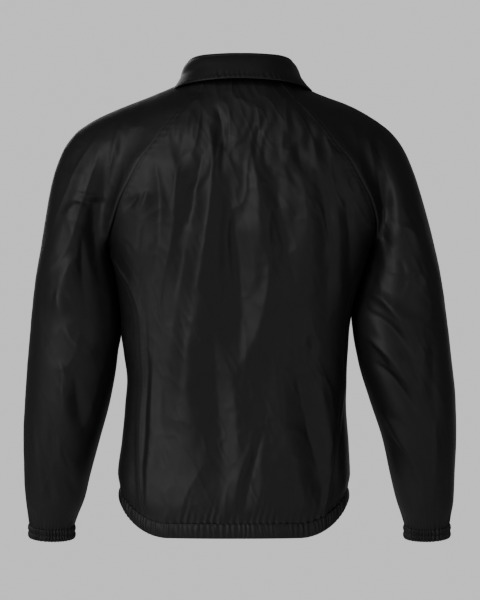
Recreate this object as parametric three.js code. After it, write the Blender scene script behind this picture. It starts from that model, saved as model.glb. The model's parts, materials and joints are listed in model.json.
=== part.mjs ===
// A coach jacket, worn but with no wearer: raglan sleeves, a turned-down collar, a snap front,
// elastic cuffs and a drawn-in hem. Millimetres, +Z up. The fronts face -Y, the wearer's left is +X.
// The origin is on the wearer's neck, level with the back neck seam. "Down" is measured from it.
import * as THREE from "three";

// Cloth and seams
const CLOTH = 1.3; // shell cloth with its light lining
const COLLAR_CLOTH = 2; // two layers and interfacing
const SEAM_GAP = 0.3;
const GATHER_GAP = 0.8; // between a smooth panel and the gathered band sewn to it
const HEM_DOWN = 728; // the stitch line of the hem casing at the centre back
const CASING = 23; // height of the hem casing
const HEM_LIFT = 52; // how much higher the hem hangs at the sides and front
const LIFT_QUARTERS = [0.36, 0.92]; // where round the body that rise starts and ends
const CUFF_HEIGHT = 20;
const BOX = 2.5; // power of the body's rounded section
const SIDE_Y = -5; // where the sides of the body lie, front to back
const LIFT_FROM = 400; // the hem's lift starts this far down, and is complete at its lower edge

// Body: half width, sideways shift, and how far the back and front reach, at each level down
const BODY = [
  { down: 0, half: 86, mid: -4, back: 62, front: -30 },
  { down: 10, half: 97, mid: -5, back: 69, front: -38 },
  { down: 30, half: 110, mid: -8, back: 81, front: -56 },
  { down: 66, half: 167, mid: -9, back: 98, front: -84 },
  { down: 105, half: 210, mid: -10, back: 110, front: -110 },
  { down: 149, half: 235, mid: -11, back: 119, front: -131 },
  { down: 195, half: 238, mid: -12, back: 123, front: -144 },
  { down: 236, half: 230, mid: -11, back: 123, front: -149 },
  { down: 285, half: 214, mid: -3, back: 120, front: -149 },
  { down: 343, half: 198, mid: 0, back: 113, front: -142 },
  { down: 400, half: 187, mid: 4, back: 107, front: -134 },
  { down: 452, half: 184, mid: 4, back: 103, front: -128 },
  { down: 512, half: 180, mid: 2, back: 101, front: -125 },
  { down: 560, half: 181, mid: 4, back: 103, front: -126 },
  { down: 640, half: 186, mid: 5, back: 111, front: -131 },
  { down: 700, half: 190, mid: 7, back: 117, front: -135 },
  { down: 728, half: 186, mid: 7, back: 115, front: -131 },
  { down: 751, half: 186, mid: 7, back: 114, front: -130 },
];

// Seams on the body, as a share of its half width: the raglan seams, then the side seams below the underarm
const UNDERARM = 285;
const BACK_SEAM = [
  { down: 3, left: 0.6, right: 0.6 },
  { down: 30, left: 0.7, right: 0.7 },
  { down: 66, left: 0.66, right: 0.66 },
  { down: 105, left: 0.67, right: 0.67 },
  { down: 149, left: 0.74, right: 0.74 },
  { down: 195, left: 0.83, right: 0.83 },
  { down: 236, left: 0.92, right: 0.92 },
  { down: 265, left: 0.975, right: 0.975 },
  { down: 285, left: 1, right: 1 },
  { down: 318, left: 0.965, right: 0.985 },
  { down: 350, left: 0.9, right: 0.965 },
  { down: 400, left: 0.85, right: 0.96 },
  { down: 452, left: 0.85, right: 0.967 },
  { down: 512, left: 0.86, right: 0.975 },
  { down: 560, left: 0.865, right: 0.95 },
  { down: 640, left: 0.84, right: 0.87 },
  { down: 728, left: 0.775, right: 0.79 },
  { down: 751, left: 0.775, right: 0.79 },
];
const FRONT_SEAM = [
  { down: 40, share: 0.48 },
  { down: 62, share: 0.5 },
  { down: 92, share: 0.53 },
  { down: 125, share: 0.6 },
  { down: 160, share: 0.69 },
  { down: 195, share: 0.78 },
  { down: 228, share: 0.87 },
  { down: 262, share: 0.965 },
  { down: 285, share: 1 },
];
// Where the evenly spread inner columns of the back and fronts would meet their seams, in quarters of a turn
const INNER = [
  { down: 0, back: 0.39, front: 1.72 },
  { down: 66, back: 0.425, front: 1.68 },
  { down: 125, back: 0.46, front: 1.62 },
  { down: 160, back: 0.51, front: 1.555 },
  { down: 195, back: 0.57, front: 1.48 },
  { down: 228, back: 0.64, front: 1.4 },
  { down: 300, back: 0.72, front: 1.2 },
  { down: 400, back: 0.68, front: 0.95 },
  { down: 520, back: 0.64, front: 0.8 },
  { down: 640, back: 0.58, front: 0.68 },
  { down: 728, back: 0.53, front: 0.58 },
];
const NECK = { back: 3, front: 40, centreFront: 80 }; // how far down its seam lies
const LAP = { past: 18, raise: 3, fade: 46 }; // the left front laps over the right
const CASING_RAISE = 5.7; // and its casing over the right one
const CASING_PUFF = 2.2;

// Sleeve sections from the neck to the cuff. Out and in are the two edges seen from behind, x and down.
// Above the underarm a section runs from the back seam to the front seam instead of to its in point.
const SLEEVE = [
  { outDown: 10, left: 86, right: 92, midY: -2, seamBack: 3, seamFront: 40, round: 0, bulge: 0, valley: 0 },
  { outDown: 28, left: 128, right: 128, midY: -3, seamBack: 30, seamFront: 62, round: 0, bulge: 0, valley: 0 },
  { outDown: 50, left: 184, right: 184, midY: -3, seamBack: 66, seamFront: 92, round: 0.02, bulge: 4, valley: 0 },
  { outDown: 73, left: 236, right: 225, midY: -4, seamBack: 105, seamFront: 125, round: 0.1, bulge: 12, valley: 3 },
  { outDown: 97, left: 271, right: 256, midY: -5, seamBack: 145, seamFront: 160, round: 0.25, bulge: 22, valley: 9 },
  { outDown: 130, left: 291, right: 277, midY: -6, seamBack: 180, seamFront: 195, round: 0.42, bulge: 32, valley: 19 },
  { outDown: 171, left: 305, right: 292, midY: -6, seamBack: 215, seamFront: 228, round: 0.62, bulge: 43, valley: 27 },
  { outDown: 225, left: 315, right: 309, midY: -6, seamBack: 255, seamFront: 262, round: 0.85, bulge: 56, valley: 20 },
  { outDown: 285, left: 324, right: 324, midY: -6, seamBack: 285, seamFront: 285, round: 1, bulge: 68, valley: 0 },
];
const ARM = [
  { outDown: 285, left: 324, right: 324, inDown: 285, inLeft: 212.6, inRight: 218.6, midY: -6, depth: 68, pitch: 0 },
  { outDown: 335, left: 333, right: 334, inDown: 338, inLeft: 200.5, inRight: 200.5, midY: -7, depth: 74, pitch: 0 },
  { outDown: 400, left: 340, right: 343, inDown: 402, inLeft: 193.5, inRight: 187, midY: -9, depth: 77, pitch: 0.02 },
  { outDown: 466, left: 346, right: 351, inDown: 468, inLeft: 199, inRight: 197, midY: -14, depth: 77, pitch: 0.05 },
  { outDown: 531, left: 351, right: 358, inDown: 531, inLeft: 210, inRight: 216, midY: -22, depth: 74, pitch: 0.1 },
  { outDown: 597, left: 354, right: 360, inDown: 597, inLeft: 228, inRight: 238, midY: -34, depth: 68, pitch: 0.14 },
  { outDown: 655, left: 354, right: 358, inDown: 655, inLeft: 244, inRight: 251, midY: -46, depth: 60, pitch: 0.18 },
  { outDown: 695, left: 352, right: 357, inDown: 695, inLeft: 254, inRight: 261, midY: -54, depth: 53, pitch: 0.2 },
  { outDown: 722, left: 349, right: 353, inDown: 724, inLeft: 266, inRight: 271, midY: -60, depth: 45, pitch: 0.2 },
  { outDown: 740, left: 346, right: 350, inDown: 742, inLeft: 273, inRight: 277, midY: -63, depth: 39, pitch: 0.2 },
];
const REACH = 0.9; // how straight a cap section leaves its seam
const VALLEY = { at: 0.36, wide: 0.13 }; // the hollow behind the armhole, along a cap section

// Folds of the back and front, as ridges (+) and troughs (-) from one point to another
const BACK_FOLDS = [
  { x0: 30, down0: 70, x1: 128, down1: 660, wide: 26, high: -9 },
  { x0: 12, down0: 90, x1: 62, down1: 560, wide: 30, high: 7 },
  { x0: 108, down0: 110, x1: 100, down1: 300, wide: 15, high: 7 },
  { x0: 78, down0: 80, x1: 96, down1: 330, wide: 18, high: -6 },
  { x0: 2, down0: 80, x1: 4, down1: 450, wide: 24, high: -8 },
  { x0: -22, down0: 95, x1: -30, down1: 420, wide: 20, high: 7 },
  { x0: -52, down0: 90, x1: -110, down1: 690, wide: 26, high: -8 },
  { x0: -92, down0: 90, x1: -122, down1: 560, wide: 26, high: 6 },
  { x0: -150, down0: 170, x1: -176, down1: 400, wide: 18, high: -6 },
  { x0: 142, down0: 470, x1: 160, down1: 700, wide: 16, high: 5 },
  { x0: -8, down0: 560, x1: -24, down1: 720, wide: 16, high: -5 },
];
const FRONT_FOLDS = [
  { x0: 128, down0: 150, x1: 76, down1: 610, wide: 26, high: -7 },
  { x0: 74, down0: 190, x1: 48, down1: 520, wide: 22, high: 5 },
  { x0: 166, down0: 330, x1: 132, down1: 690, wide: 22, high: 5 },
  { x0: -132, down0: 160, x1: -84, down1: 640, wide: 26, high: -6 },
  { x0: -80, down0: 210, x1: -58, down1: 500, wide: 22, high: 5 },
  { x0: -164, down0: 350, x1: -140, down1: 680, wide: 22, high: 4 },
];
// Folds of a sleeve: along is 0 at the underarm and 1 at the cuff, turn is 0 inside, 0.25 back, 0.5 outside
const ARM_FOLDS = {
  1: [
    { turn0: 0.1, along0: 0.0, turn1: 0.3, along1: 0.24, wide: 0.07, high: -9 },
    { turn0: 0.16, along0: 0.2, turn1: 0.34, along1: 0.44, wide: 0.06, high: 6 },
    { turn0: 0.1, along0: 0.36, turn1: 0.33, along1: 0.58, wide: 0.06, high: -7 },
    { turn0: 0.2, along0: 0.6, turn1: 0.28, along1: 0.95, wide: 0.05, high: -5 },
    { turn0: 0.92, along0: 0.15, turn1: 0.7, along1: 0.5, wide: 0.07, high: -7 },
    { turn0: 0.9, along0: 0.42, turn1: 0.68, along1: 0.68, wide: 0.06, high: 6 },
  ],
  "-1": [
    { turn0: 0.06, along0: 0.05, turn1: 0.32, along1: 0.36, wide: 0.055, high: -8 },
    { turn0: 0.06, along0: 0.18, turn1: 0.3, along1: 0.56, wide: 0.05, high: -8 },
    { turn0: 0.08, along0: 0.12, turn1: 0.3, along1: 0.46, wide: 0.05, high: 6 },
    { turn0: 0.06, along0: 0.42, turn1: 0.26, along1: 0.82, wide: 0.05, high: -7 },
    { turn0: 0.93, along0: 0.2, turn1: 0.7, along1: 0.52, wide: 0.06, high: -7 },
    { turn0: 0.9, along0: 0.48, turn1: 0.7, along1: 0.75, wide: 0.06, high: 5 },
  ],
};

// Gathers: how many waves, and how far they stand out
const HEM_GATHERS = { waves: 40, high: 1.4, softWaves: 14, softHigh: 1.3, reach: 60 };
const CUFF_GATHERS = { waves: 15, high: 1.7, reach: 52 };
const CUFF = { puff: 0.05, turnIn: 0.4 };

// Collar, by the share of the way from centre back to centre front
const COLLAR = [
  { round: 0, stand: 31, lean: 5, spread: 24, drop: 38, swing: 0 },
  { round: 0.3, stand: 32, lean: 5, spread: 28, drop: 39, swing: 0 },
  { round: 0.46, stand: 34, lean: 4, spread: 37, drop: 44, swing: 0 },
  { round: 0.6, stand: 31, lean: 3, spread: 42, drop: 52, swing: 2 },
  { round: 0.76, stand: 24, lean: 1, spread: 44, drop: 62, swing: 10 },
  { round: 0.9, stand: 15, lean: 0, spread: 36, drop: 66, swing: 26 },
  { round: 1, stand: 10, lean: 0, spread: 32, drop: 66, swing: 44 },
];
const COLLAR_FOLD = 3.2; // radius of the fold along the collar's top
const COLLAR_CLEAR = 3.6; // the fall keeps this far off the panels
const COLLAR_SEARCH = 45; // and looks this far round for them
const COLLAR_NEAREST = 6; // at this many of their points
const COLLAR_OPEN = 4; // half the gap between the collar's two ends
const STAND_END = 0.25; // shares of the folded sheet at which the stand and the fold end
const FOLD_END = 0.5;
const FALL_CURVE = 0.85; // how the fall bows outwards

// Snap fasteners down the front
const SNAP = { radius: 7.6, rise: 2.4, first: 108, last: 660, count: 6, gap: 0.9 };

// Grid of the panels: their rows above the underarm end on the sleeve's rows, those below on the side seam
const CAP_ROWS = 13;
const LOW_ROWS = 12;
const ARM_ROWS = 18;
const BAND_ROWS = 3;
const COLLAR_ROWS = 13;
const BACK_COLUMNS = 25;
const SLEEVE_COLUMNS = 21;
const FRONT_COLUMNS = 15;
const CUFF_COLUMNS = 60;
const HEM_BACK_COLUMNS = 61;
const HEM_FRONT_COLUMNS = 53;
const INNER_POWER = 4; // only the columns near a seam follow its turns

const mix = (a, b, t) => a + (b - a) * t;
const clamp01 = (t) => Math.min(1, Math.max(0, t));
const smooth = (from, to, x) => {
  const t = clamp01((x - from) / (to - from));
  return t * t * (3 - 2 * t);
};

// A smooth curve through one column of a table, read by another column
function curve(table, by, column) {
  const xs = table.map((row) => row[by]);
  const ys = table.map((row) => row[column]);
  const steep = (i) => (ys[i + 1] - ys[i]) / (xs[i + 1] - xs[i]);
  const slopes = xs.map((_, i) => {
    if (i === 0) return steep(0);
    if (i === xs.length - 1) return steep(i - 1);
    const before = steep(i - 1);
    const after = steep(i);
    return before * after <= 0 ? 0 : (2 * before * after) / (before + after);
  });
  return (x) => {
    const at = Math.min(xs.at(-1), Math.max(xs[0], x));
    let i = 0;
    while (i < xs.length - 2 && at > xs[i + 1]) i++;
    const span = xs[i + 1] - xs[i];
    const t = (at - xs[i]) / span;
    const eased = t * t * (3 - 2 * t);
    const leave = t * (1 - t) * (1 - t) * span * slopes[i];
    const arrive = t * t * (t - 1) * span * slopes[i + 1];
    return mix(ys[i], ys[i + 1], eased) + leave + arrive;
  };
}

// A curve for each column of a table
const curves = (table, by) => Object.fromEntries(Object.keys(table[0]).map((name) => [name, curve(table, by, name)]));
const counted = (table) => table.map((row, at) => ({ ...row, at }));

const body = curves(BODY, "down");
const seams = curves(BACK_SEAM, "down");
const backSeam = { 1: seams.left, "-1": seams.right };
const frontSeam = curves(FRONT_SEAM, "down").share;
const inner = curves(INNER, "down");
const collar = curves(COLLAR, "round");
const sleeve = curves(counted(SLEEVE), "at");
const arm = curves(counted(ARM), "at");

// The turn round the body, in quarters from the centre back, of a place given as a share of the half width
function quarterOf(share, isFront) {
  const height = Math.max(0, 1 - share ** BOX) ** (1 / BOX);
  const quarter = Math.atan2(share, height) / (Math.PI / 2);
  return isFront ? 2 - quarter : quarter;
}

// Ridges and troughs of a table of folds, at x and down on one face of the body
function foldsAt(folds, x, down) {
  return folds.reduce((sum, f) => {
    const along = (down - f.down0) / (f.down1 - f.down0);
    if (along <= 0 || along >= 1) return sum;
    const off = (x - mix(f.x0, f.x1, along)) / (f.wide * (0.55 + 0.75 * along));
    const across = Math.abs(off) < 1 ? Math.cos((off * Math.PI) / 2) ** 2 : 0;
    return sum + f.high * across * Math.sin(Math.PI * along ** 0.7);
  }, 0);
}

// How far the hem has risen at a turn round the body: nothing at the back, all of it from the side on
const liftAt = (quarter) => HEM_LIFT * smooth(...LIFT_QUARTERS, Math.abs(quarter));

// Gathers that grow towards the drawn-in hem: soft waves in the panels, finer ones in the casing
function hemGather(quarter, down) {
  const { waves, high, softWaves, softHigh, reach } = HEM_GATHERS;
  const angle = (quarter * Math.PI) / 2;
  const near = smooth(HEM_DOWN - reach, HEM_DOWN, down) * smooth(2, 1.8, Math.abs(quarter));
  const fine = down > HEM_DOWN ? high * Math.sin(waves * angle + 0.9 * Math.sin(softWaves * angle)) : 0;
  return near * (softHigh * Math.sin(softWaves * angle) + fine);
}

// A point of the worn body. Quarter runs from -2 at the centre front over 0 at the centre back to 2.
function bodyPoint(quarter, down, raise = 0) {
  const angle = (quarter * Math.PI) / 2;
  const [s, c] = [Math.sin(angle), Math.cos(angle)];
  const r = (Math.abs(s) ** BOX + Math.abs(c) ** BOX) ** (-1 / BOX);
  const reach = c > 0 ? body.back(down) - SIDE_Y : SIDE_Y - body.front(down);
  const x = body.mid(down) + body.half(down) * r * s;
  const fold = c > 0 ? foldsAt(BACK_FOLDS, x, down) : foldsAt(FRONT_FOLDS, x, down);
  const out = raise + fold * Math.abs(c) + hemGather(quarter, down);
  const lift = liftAt(quarter) * smooth(LIFT_FROM, HEM_DOWN + CASING, down);
  return new THREE.Vector3(x + out * s, SIDE_Y + reach * r * c + out * c, lift - down);
}

// A grid of points on a panel's outer face, with the way out of the cloth at each of them
function clothGrid({ name, rows, columns, at, thick = CLOTH, loop = false, flip = false }) {
  const outer = [];
  for (let i = 0; i < rows; i++) {
    const row = [];
    for (let j = 0; j < columns; j++) row.push(at(i, j / (loop ? columns : columns - 1)));
    outer.push(row);
  }
  const beside = (j, step) => (loop ? (j + step + columns) % columns : Math.min(columns - 1, Math.max(0, j + step)));
  const normals = outer.map((row, i) =>
    row.map((_, j) => {
      const across = row[beside(j, 1)].clone().sub(row[beside(j, -1)]);
      const below = outer[Math.min(rows - 1, i + 1)][j].clone().sub(outer[Math.max(0, i - 1)][j]);
      return across.cross(below).setLength(flip ? -1 : 1);
    }),
  );
  return { name, outer, normals, thick, loop, flip };
}

// Where panels share a seam, their walls meet on a mitre: one common way out for all of them
function mitreSeams(grids) {
  const seams = [];
  const isEnd = (list, k) => k === 0 || k === list.length - 1;
  const onEdge = ({ outer, loop }, i, j) => isEnd(outer, i) || (!loop && isEnd(outer[0], j));
  const each = (visit) =>
    grids.forEach((grid) =>
      grid.outer.forEach((row, i) => row.forEach((p, j) => onEdge(grid, i, j) && visit(grid, p, i, j))),
    );
  each((grid, p, i, j) => {
    const seam = seams.find((s) => s.point.distanceToSquared(p) < 0.01);
    if (seam) seam.out.add(grid.normals[i][j]);
    else seams.push({ point: p, out: grid.normals[i][j].clone() });
  });
  each((grid, p, i, j) => {
    const out = seams.find((s) => s.point.distanceToSquared(p) < 0.01).out.clone().normalize();
    const own = grid.normals[i][j];
    own.copy(out.multiplyScalar(1 / Math.max(0.7, own.dot(out))));
  });
}

// The wall of a panel: its inner face lies behind the outer one by the cloth's thickness
function clothWall({ outer, normals, thick, loop, flip }) {
  const [rows, columns] = [outer.length, outer[0].length];
  const inner = outer.map((row, i) => row.map((p, j) => p.clone().addScaledVector(normals[i][j], -thick)));
  const pulls = [];
  // Each edge point moves into its panel, square to the seam
  const pull = (i, j, next, before, after) => {
    const seam = after.clone().sub(before).normalize();
    const into = next.clone().sub(outer[i][j]);
    pulls.push([i, j, into.addScaledVector(seam, -into.dot(seam)).setLength(SEAM_GAP / 2)]);
  };
  const around = (j) => (loop ? (j + columns) % columns : Math.min(columns - 1, Math.max(0, j)));
  for (let j = 0; j < columns; j++) {
    for (const [i, next] of [[0, 1], [rows - 1, rows - 2]]) {
      pull(i, j, outer[next][j], outer[i][around(j - 1)], outer[i][around(j + 1)]);
    }
  }
  for (let i = 0; i < rows && !loop; i++) {
    for (const [j, next] of [[0, 1], [columns - 1, columns - 2]]) {
      pull(i, j, outer[i][next], outer[Math.max(0, i - 1)][j], outer[Math.min(rows - 1, i + 1)][j]);
    }
  }
  for (const [i, j, by] of pulls) {
    outer[i][j] = outer[i][j].clone().add(by);
    inner[i][j].add(by);
  }
  return gridSolid(outer, inner, loop, flip);
}

// Two grids of points, face to face, closed along their edges into one solid
function gridSolid(outer, inner, loop, flip) {
  const [rows, columns] = [outer.length, outer[0].length];
  const position = [...outer.flat(), ...inner.flat()].flatMap((p) => p.toArray());
  const index = [];
  const id = (face, i, j) => (face * rows + i) * columns + (j % columns);
  const quad = (a, b, c, d) => index.push(a, b, c, a, c, d);
  const spans = loop ? columns : columns - 1;
  for (let i = 0; i < rows - 1; i++) {
    for (let j = 0; j < spans; j++) {
      quad(id(0, i, j), id(0, i, j + 1), id(0, i + 1, j + 1), id(0, i + 1, j));
      quad(id(1, i, j), id(1, i + 1, j), id(1, i + 1, j + 1), id(1, i, j + 1));
    }
    if (loop) continue;
    const last = columns - 1;
    quad(id(0, i, 0), id(0, i + 1, 0), id(1, i + 1, 0), id(1, i, 0));
    quad(id(0, i, last), id(1, i, last), id(1, i + 1, last), id(0, i + 1, last));
  }
  for (let j = 0; j < spans; j++) {
    const end = rows - 1;
    quad(id(0, 0, j), id(1, 0, j), id(1, 0, j + 1), id(0, 0, j + 1));
    quad(id(0, end, j), id(0, end, j + 1), id(1, end, j + 1), id(1, end, j));
  }
  if (flip) for (let k = 0; k < index.length; k += 3) [index[k + 1], index[k + 2]] = [index[k + 2], index[k + 1]];
  const geometry = new THREE.BufferGeometry();
  geometry.setAttribute("position", new THREE.Float32BufferAttribute(position, 3));
  geometry.setIndex(index);
  return geometry;
}

const capAt = (row) => (row / (CAP_ROWS - 1)) * (SLEEVE.length - 1);
const rowShare = (row) => row / (CAP_ROWS + LOW_ROWS - 1);
function panelDown(seamColumn, row) {
  if (row < CAP_ROWS) return sleeve[seamColumn](capAt(row));
  return mix(UNDERARM, HEM_DOWN, (row - CAP_ROWS + 1) / LOW_ROWS);
}

// Back panel, from the right seam to the left one
function backPoint(row, c) {
  const down = panelDown("seamBack", row);
  const left = quarterOf(backSeam[1](down), false);
  const right = -quarterOf(backSeam[-1](down), false);
  const rise = NECK.back * Math.sin(Math.PI * c) * (1 - rowShare(row)) ** 8;
  const across = 2 * c - 1;
  const toSeam = c > 0.5 ? left - inner.back(down) : right + inner.back(down);
  return bodyPoint(across * inner.back(down) + toSeam * Math.abs(across) ** INNER_POWER, down - rise);
}

// The seam that bounds a front on its side: the front raglan seam, then the side seam
function frontEdge(side, down) {
  return down < UNDERARM ? quarterOf(frontSeam(down), true) : quarterOf(backSeam[side](down), false);
}

// A front panel, from its side edge to the edge of the lap past the centre front
function frontPoint(side, row, c) {
  const down = panelDown("seamFront", row);
  const past = 2 + LAP.past / body.half(Math.max(down, NECK.centreFront)) / (Math.PI / 2);
  const even = inner.front(down);
  const quarter = mix(even, past, c) + (frontEdge(side, down) - even) * (1 - c) ** INNER_POWER;
  const dip = (NECK.centreFront - NECK.front) * smooth(0, 0.95, c) * (1 - rowShare(row)) ** 4;
  const centreX = (2 - quarter) * (Math.PI / 2) * body.half(down);
  const raise = side > 0 ? LAP.raise * smooth(LAP.fade, LAP.past, centreX) : 0;
  return bodyPoint(side * quarter, down + dip, raise);
}

// Half of a cap section, from the seam to the top of the shoulder, t from 0 to 1
function capHalf(side, at, t, isBack) {
  const x = side > 0 ? sleeve.left(at) : -sleeve.right(at);
  const top = new THREE.Vector3(x, sleeve.midY(at), -sleeve.outDown(at));
  const seamDown = isBack ? sleeve.seamBack(at) : sleeve.seamFront(at);
  const quarter = isBack ? quarterOf(backSeam[side](seamDown), false) : quarterOf(frontSeam(seamDown), true);
  const seam = bodyPoint(side * quarter, seamDown);
  const inside = bodyPoint(side * (quarter + (isBack ? -0.02 : 0.02)), seamDown);
  const reach = seam.distanceTo(top);
  const leave = seam.clone().sub(inside).setLength(reach * REACH);
  const arrive = new THREE.Vector3(0, isBack ? -1 : 1, 0).multiplyScalar(reach * REACH);
  const [h1, h2] = [t * (1 - t) * (1 - t), t * t * (t - 1)];
  const arch = seam.clone().lerp(top, t * t * (3 - 2 * t)).addScaledVector(leave, h1).addScaledVector(arrive, h2);
  const loop = seam.clone().lerp(top, (1 - Math.cos(Math.PI * t)) / 2);
  loop.y += (isBack ? 1 : -1) * sleeve.bulge(at) * Math.sin(Math.PI * t);
  arch.lerp(loop, sleeve.round(at));
  const groove = Math.exp(-(((t - VALLEY.at) / VALLEY.wide) ** 2));
  arch.y -= (isBack ? 1 : -1) * sleeve.valley(at) * groove;
  return arch;
}

// A section of the arm below the underarm, turn from 0 inside over 0.25 at the back and 0.5 outside
function armPoint(side, at, turn) {
  const outX = side > 0 ? arm.left(at) : -arm.right(at);
  const inX = side > 0 ? arm.inLeft(at) : -arm.inRight(at);
  const across = (1 - Math.cos(turn * 2 * Math.PI)) / 2;
  const sway = Math.sin(turn * 2 * Math.PI);
  const along = at / (ARM.length - 1);
  const fold = armFolds(side, turn, along) + cuffGather(turn, arm.outDown(at));
  const x = mix(inX, outX, across) + fold * Math.sign(outX) * (2 * across - 1);
  const y = (arm.depth(at) + fold) * sway;
  const down = mix(arm.inDown(at), arm.outDown(at), across) + y * arm.pitch(at);
  return new THREE.Vector3(x, arm.midY(at) + y, -down);
}

function armFolds(side, turn, along) {
  return ARM_FOLDS[side].reduce((sum, f) => {
    const t = (along - f.along0) / (f.along1 - f.along0);
    if (t <= 0 || t >= 1) return sum;
    const off = (turn - mix(f.turn0, f.turn1, t)) / f.wide;
    const across = Math.abs(off) < 1 ? Math.cos((off * Math.PI) / 2) ** 2 : 0;
    return sum + f.high * across * Math.sin(Math.PI * t);
  }, 0);
}

function cuffGather(turn, down) {
  const end = ARM.at(-1).outDown;
  const near = smooth(end - CUFF_GATHERS.reach, end, down);
  return CUFF_GATHERS.high * near * Math.sin(turn * CUFF_GATHERS.waves * 2 * Math.PI);
}

// A whole sleeve: cap rows above the underarm, arm rows below it
function sleevePoint(side, row, u) {
  if (row < CAP_ROWS - 1) return capHalf(side, capAt(row), u < 0.5 ? u * 2 : 2 - u * 2, u < 0.5);
  return armPoint(side, ((row - CAP_ROWS + 1) / (ARM_ROWS - 1)) * (ARM.length - 1), u);
}

// Cuff: the sleeve's end goes on as a gathered band
function cuffPoint(side, v, turn) {
  const last = ARM.length - 1;
  const p = armPoint(side, last, turn);
  const above = armPoint(side, last - 0.6, turn);
  const centre = armPoint(side, last, 0.25).lerp(armPoint(side, last, 0.75), 0.5);
  const down = p.clone().sub(above).setX(0).normalize();
  const out = p.clone().sub(centre).multiplyScalar(1 + CUFF.puff * Math.sin(Math.PI * v));
  return centre.add(out).addScaledVector(down.setY(down.y * CUFF.turnIn), CUFF_HEIGHT * v + GATHER_GAP);
}

// The neck seam, from the left end over the centre back to the right end, on the panels' own points
function neckSeam() {
  const half = (side) => {
    const points = [];
    const backSpans = BACK_COLUMNS - 1;
    for (let j = backSpans / 2; j <= backSpans; j += 2) {
      points.push(backPoint(0, (side > 0 ? j : backSpans - j) / backSpans));
    }
    for (let j = 4; j < SLEEVE_COLUMNS - 1; j += 4) points.push(sleevePoint(side, 0, j / (SLEEVE_COLUMNS - 1)));
    for (let j = 0; j < FRONT_COLUMNS; j += 2) {
      const p = frontPoint(side, 0, j / (FRONT_COLUMNS - 1));
      if ((p.x - body.mid(NECK.centreFront)) * side > COLLAR_OPEN) points.push(p);
    }
    return points;
  };
  return [...half(1).slice(1).reverse(), ...half(-1)];
}
const neck = neckSeam();

// Lifts a point of the collar's fall off the panels under it, along their way out
function offPanels(p, panels) {
  const near = [];
  for (const { outer, normals } of panels) {
    outer.forEach((row, i) =>
      row.forEach((q, j) => {
        const away = q.distanceTo(p);
        if (away < COLLAR_SEARCH) near.push([away, q, normals[i][j]]);
      }),
    );
  }
  near.sort((one, two) => one[0] - two[0]);
  for (const [, q, normal] of near.slice(0, COLLAR_NEAREST)) {
    const out = normal.clone().normalize();
    const short = COLLAR_CLEAR - p.clone().sub(q).dot(out);
    if (short > 0) p.addScaledVector(out, short);
  }
  return p;
}

// The collar is one folded sheet: up the stand, over the fold and down the fall
function collarPoint(panels, v, c) {
  const at = Math.round(c * (neck.length - 1));
  const seam = neck[at];
  const tangent = neck[Math.min(neck.length - 1, at + 1)].clone().sub(neck[Math.max(0, at - 1)]);
  const outward = new THREE.Vector3(tangent.y, -tangent.x, 0).normalize();
  const round = Math.abs(c - 0.5) * 2;
  const side = Math.sign(0.5 - c);
  const [stand, fold] = [collar.stand(round), COLLAR_FOLD];
  const start = seam.clone().add(new THREE.Vector3(0, 0, GATHER_GAP));
  const top = seam.clone().addScaledVector(outward, -collar.lean(round)).add(new THREE.Vector3(0, 0, stand - fold));
  if (v < STAND_END) return start.lerp(top, v / STAND_END);
  if (v < FOLD_END) {
    const turn = ((v - STAND_END) / (FOLD_END - STAND_END)) * Math.PI;
    return top.addScaledVector(outward, fold * (1 - Math.cos(turn))).setZ(top.z + fold * Math.sin(turn));
  }
  const t = (v - FOLD_END) / (1 - FOLD_END);
  top.addScaledVector(outward, 2 * fold + collar.spread(round) * t ** FALL_CURVE);
  top.x += side * collar.swing(round) * t;
  top.z -= collar.drop(round) * t;
  return offPanels(top, panels);
}

const nylon = new THREE.MeshStandardMaterial({ color: 0x0b0b0c, roughness: 0.42, metalness: 0 });
const snapMetal = new THREE.MeshStandardMaterial({ color: 0x101011, roughness: 0.3, metalness: 0.2 });
const jacket = new THREE.Group();

function add(name, geometry, material = nylon) {
  const mesh = new THREE.Mesh(geometry, material);
  mesh.name = name;
  jacket.add(mesh);
  return mesh;
}

// The hem casing under each panel, puffed a little by the cord and gathers in it
function casingPoint(from, to, v, c, raise = 0) {
  const puff = CASING_PUFF * Math.sin(Math.PI * v);
  return bodyPoint(mix(from, to, c), HEM_DOWN + GATHER_GAP + CASING * v, puff + raise);
}

function lappedCasingPoint(from, to, v, c) {
  const centreX = (2 - mix(from, to, c)) * (Math.PI / 2) * body.half(HEM_DOWN);
  return casingPoint(from, to, v, c, CASING_RAISE * smooth(LAP.fade, LAP.past, centreX));
}

function sidePieces(side) {
  const word = side > 0 ? "left" : "right";
  const shared = { flip: side < 0 };
  const sleeveRows = CAP_ROWS - 1 + ARM_ROWS;
  const front = { rows: CAP_ROWS + LOW_ROWS, columns: FRONT_COLUMNS, at: (i, c) => frontPoint(side, i, c) };
  const arm = { rows: sleeveRows, columns: SLEEVE_COLUMNS, at: (i, u) => sleevePoint(side, i, u) };
  const cuffAt = (i, u) => cuffPoint(side, i / (BAND_ROWS - 1), u);
  const cuff = { rows: BAND_ROWS, columns: CUFF_COLUMNS, loop: true, at: cuffAt };
  return [
    { name: `front_${word}`, ...shared, ...front },
    { name: `sleeve_${word}`, ...shared, ...arm },
    { name: `cuff_${word}`, ...shared, ...cuff },
  ];
}

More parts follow.
